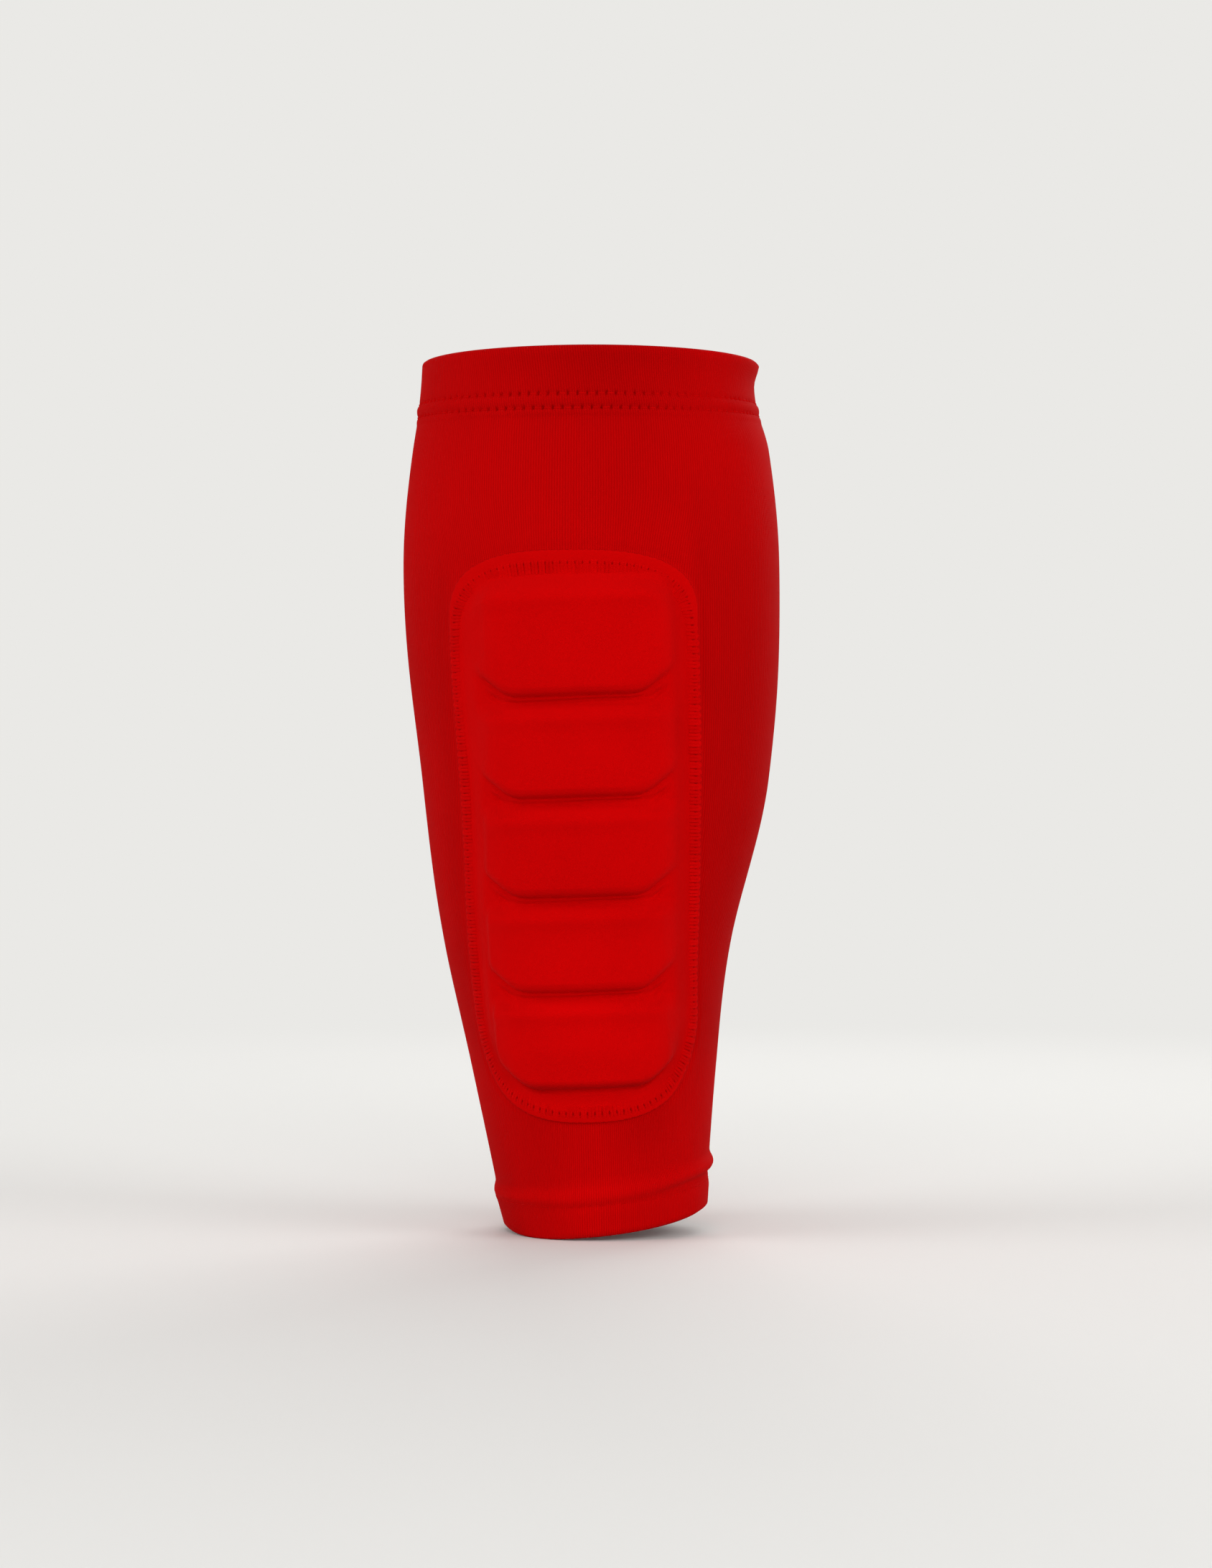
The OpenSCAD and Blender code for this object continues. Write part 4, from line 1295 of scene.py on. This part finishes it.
def hem_stitches(row, rise):
    """Short stitches that rise out of their needle holes."""
    count = stitch_count(row)
    ends = np.arange(count + 1) / count * TURN - math.pi
    t = np.linspace(-1, 1, STITCH_POINTS)
    a = (ends[:-1, None] + ends[1:, None]) / 2 + (ends[1] - ends[0]) / 2 * STITCH_SHARE * t[None, :]
    a = (a + math.pi) % TURN - math.pi
    h = np.full(a.shape, row)
    arch = 1 - np.abs(t) ** ARCH_POWER
    d = knit_relief(a, h) - STITCH_SINK + rise * arch[None, :] + over_back(a, h)
    thick = np.broadcast_to(mix(STITCH_TIP, 1, arch), a.shape)
    return tubes(leg(a, h, d), normals_at(a, h), thick * STITCH_HALF, thick * STITCH_HIGH, shade=HEM_SHADE)


def hem_loops(low, high, d):
    """Underside of a hem: a thread that goes to and fro between its rows."""
    count = stitch_count(high)
    t = np.linspace(0, 1, HEM_LOOP_POINTS)
    rising = (1 - np.cos(math.pi * t)) / 2
    parts = []
    for start, share in ((0, rising), (0.5, 1 - rising)):
        a = (np.arange(count)[:, None] + start + 0.5 * t[None, :]) / count * TURN - math.pi
        h = np.broadcast_to(mix(low, high, share)[None, :], a.shape)
        thick = np.full(a.shape, HEM_LOOP_HALF)
        parts.append(tubes(leg(a, h, d), normals_at(a, h), thick, thick))
    return join(parts)


low_loops = hem_loops(BOTTOM_ROW - ROW_MARGIN / 2, BOTTOM_ROW + ROW_MARGIN / 2, DOUBLED - UNDER)
thread_piece("top_hem_stitches_lower", hem_stitches(TOP_ROWS[0], TOP_STITCH_RISE), "top_hem_thread_lower")
thread_piece("top_hem_stitches_upper", hem_stitches(TOP_ROWS[1], TOP_STITCH_RISE), "top_hem_thread_upper")
thread_piece("bottom_hem_stitches", hem_stitches(BOTTOM_ROW, LOW_STITCH_RISE), "bottom_hem_thread")
thread_piece("top_hem_loops", hem_loops(*TOP_ROWS, ELASTIC_IN - UNDER), "top_hem_looper")
thread_piece("bottom_hem_loops", low_loops, "bottom_hem_looper")

# floor, backdrop, light and camera, in metres

FLOOR = cad_low.z
PALE, FLOOR_PALE = linear(234, 233, 230), linear(238, 237, 234)
FLOOR_NEAR, FLOOR_FAR, FLOOR_BOUNCE, FLOOR_SEEN, WORLD_LIGHT = 0.4, 1.1, 0.7, 0.84, 0.4
LIGHT_AIM = Vector((0, 0, 0.15))


def stage_material():
    """A matt pale floor near the part, and one plain pale tone further away."""
    g = Graph(bpy.data.materials.new("pale_stage"), Roughness=0.9, Specular_IOR_Level=0.1)
    shown = g.seen()
    g.shade(FLOOR_PALE, g.ranged(shown, (0, 1), (FLOOR_BOUNCE, FLOOR_SEEN)))
    away = g.node("ShaderNodeVectorMath", {0: g.place()}, operation="LENGTH").outputs["Value"]
    far = g.ranged(away, (FLOOR_NEAR, FLOOR_FAR), interpolation_type="SMOOTHSTEP")
    pale = g.node("ShaderNodeEmission", {"Color": (*PALE, 1)}).outputs[0]
    g.end("Material Output", g.math("MULTIPLY", far, shown), g.shader.outputs[0], pale)
    return g.owner


def build_stage():
    """A floor that curves up into a backdrop."""
    near, middle, far, bend, height, half, steps = -9.0, -1.0, 1.3, 0.9, 3.2, 9.0, 25
    turn = np.linspace(0, math.pi / 2, steps)
    line = [(near, 0.0), (middle, 0.0), (0.0, 0.0)]
    line += [(far + bend * math.sin(t), bend * (1 - math.cos(t))) for t in turn]
    line += [(far + bend, height)]
    verts = [(x, y, FLOOR + z) for y, z in line for x in (-half, half)]
    faces = [(2 * i, 2 * i + 1, 2 * i + 3, 2 * i + 2) for i in range(len(line) - 1)]
    mesh = bpy.data.meshes.new("backdrop")
    mesh.from_pydata(verts, [], faces)
    mesh.polygons.foreach_set("use_smooth", np.ones(len(faces), bool))
    mesh.materials.append(stage_material())
    made = bpy.data.objects.new("backdrop", mesh)
    bpy.context.scene.collection.objects.link(made)


def add_light(name, place, size, power):
    lamp = bpy.data.lights.new(name, "AREA")
    lamp.shape = "RECTANGLE"
    lamp.size, lamp.size_y = size
    lamp.energy = power
    made = bpy.data.objects.new(name, lamp)
    made.location = place
    made.rotation_euler = (LIGHT_AIM - Vector(place)).to_track_quat("-Z", "Y").to_euler()
    bpy.context.scene.collection.objects.link(made)


build_stage()
add_light("key", (0.2, -2.0, 0.7), (1.6, 1.2), 15.2)
add_light("left_side", (-1.7, -0.7, 0.75), (1.0, 1.4), 14.5)
add_light("right_side", (1.7, -0.7, 0.7), (1.0, 1.4), 14.5)
add_light("overhead", (0.0, -0.5, 2.2), (1.4, 1.4), 7.5)
add_light("back_fill", (0.2, 1.6, 1.1), (1.6, 1.0), 21.0)

scene = bpy.context.scene
sky = Graph(bpy.data.worlds.new("studio"))
soft = sky.tree.nodes["Background"]
soft.inputs["Color"].default_value = (1, 1, 1, 1)
soft.inputs["Strength"].default_value = WORLD_LIGHT
shown = sky.node("ShaderNodeBackground", {"Color": (*PALE, 1)})
sky.end("World Output", sky.seen(), soft.outputs[0], shown.outputs[0])
scene.world = sky.owner
scene.view_settings.view_transform = "Standard"

CAMERA_TURN, CAMERA_DISTANCE = math.radians(6.5), 1.25
CAMERA_HEIGHT, CAMERA_ASIDE = 0.149, 0.0045
FOCAL_PIXELS, FRAME_PIXELS, SENSOR = 5000, 2184, 36.0
camera_data = bpy.data.cameras.new("camera")
camera_data.sensor_width = SENSOR
camera_data.lens = SENSOR * FOCAL_PIXELS / FRAME_PIXELS
camera = bpy.data.objects.new("camera", camera_data)
back = Vector((math.sin(CAMERA_TURN), -math.cos(CAMERA_TURN), 0))
aside = Vector((math.cos(CAMERA_TURN), math.sin(CAMERA_TURN), 0))
camera.location = back * CAMERA_DISTANCE + aside * CAMERA_ASIDE + Vector((0, 0, CAMERA_HEIGHT))
camera.rotation_euler = (-back).to_track_quat("-Z", "Y").to_euler()
scene.collection.objects.link(camera)
scene.camera = camera
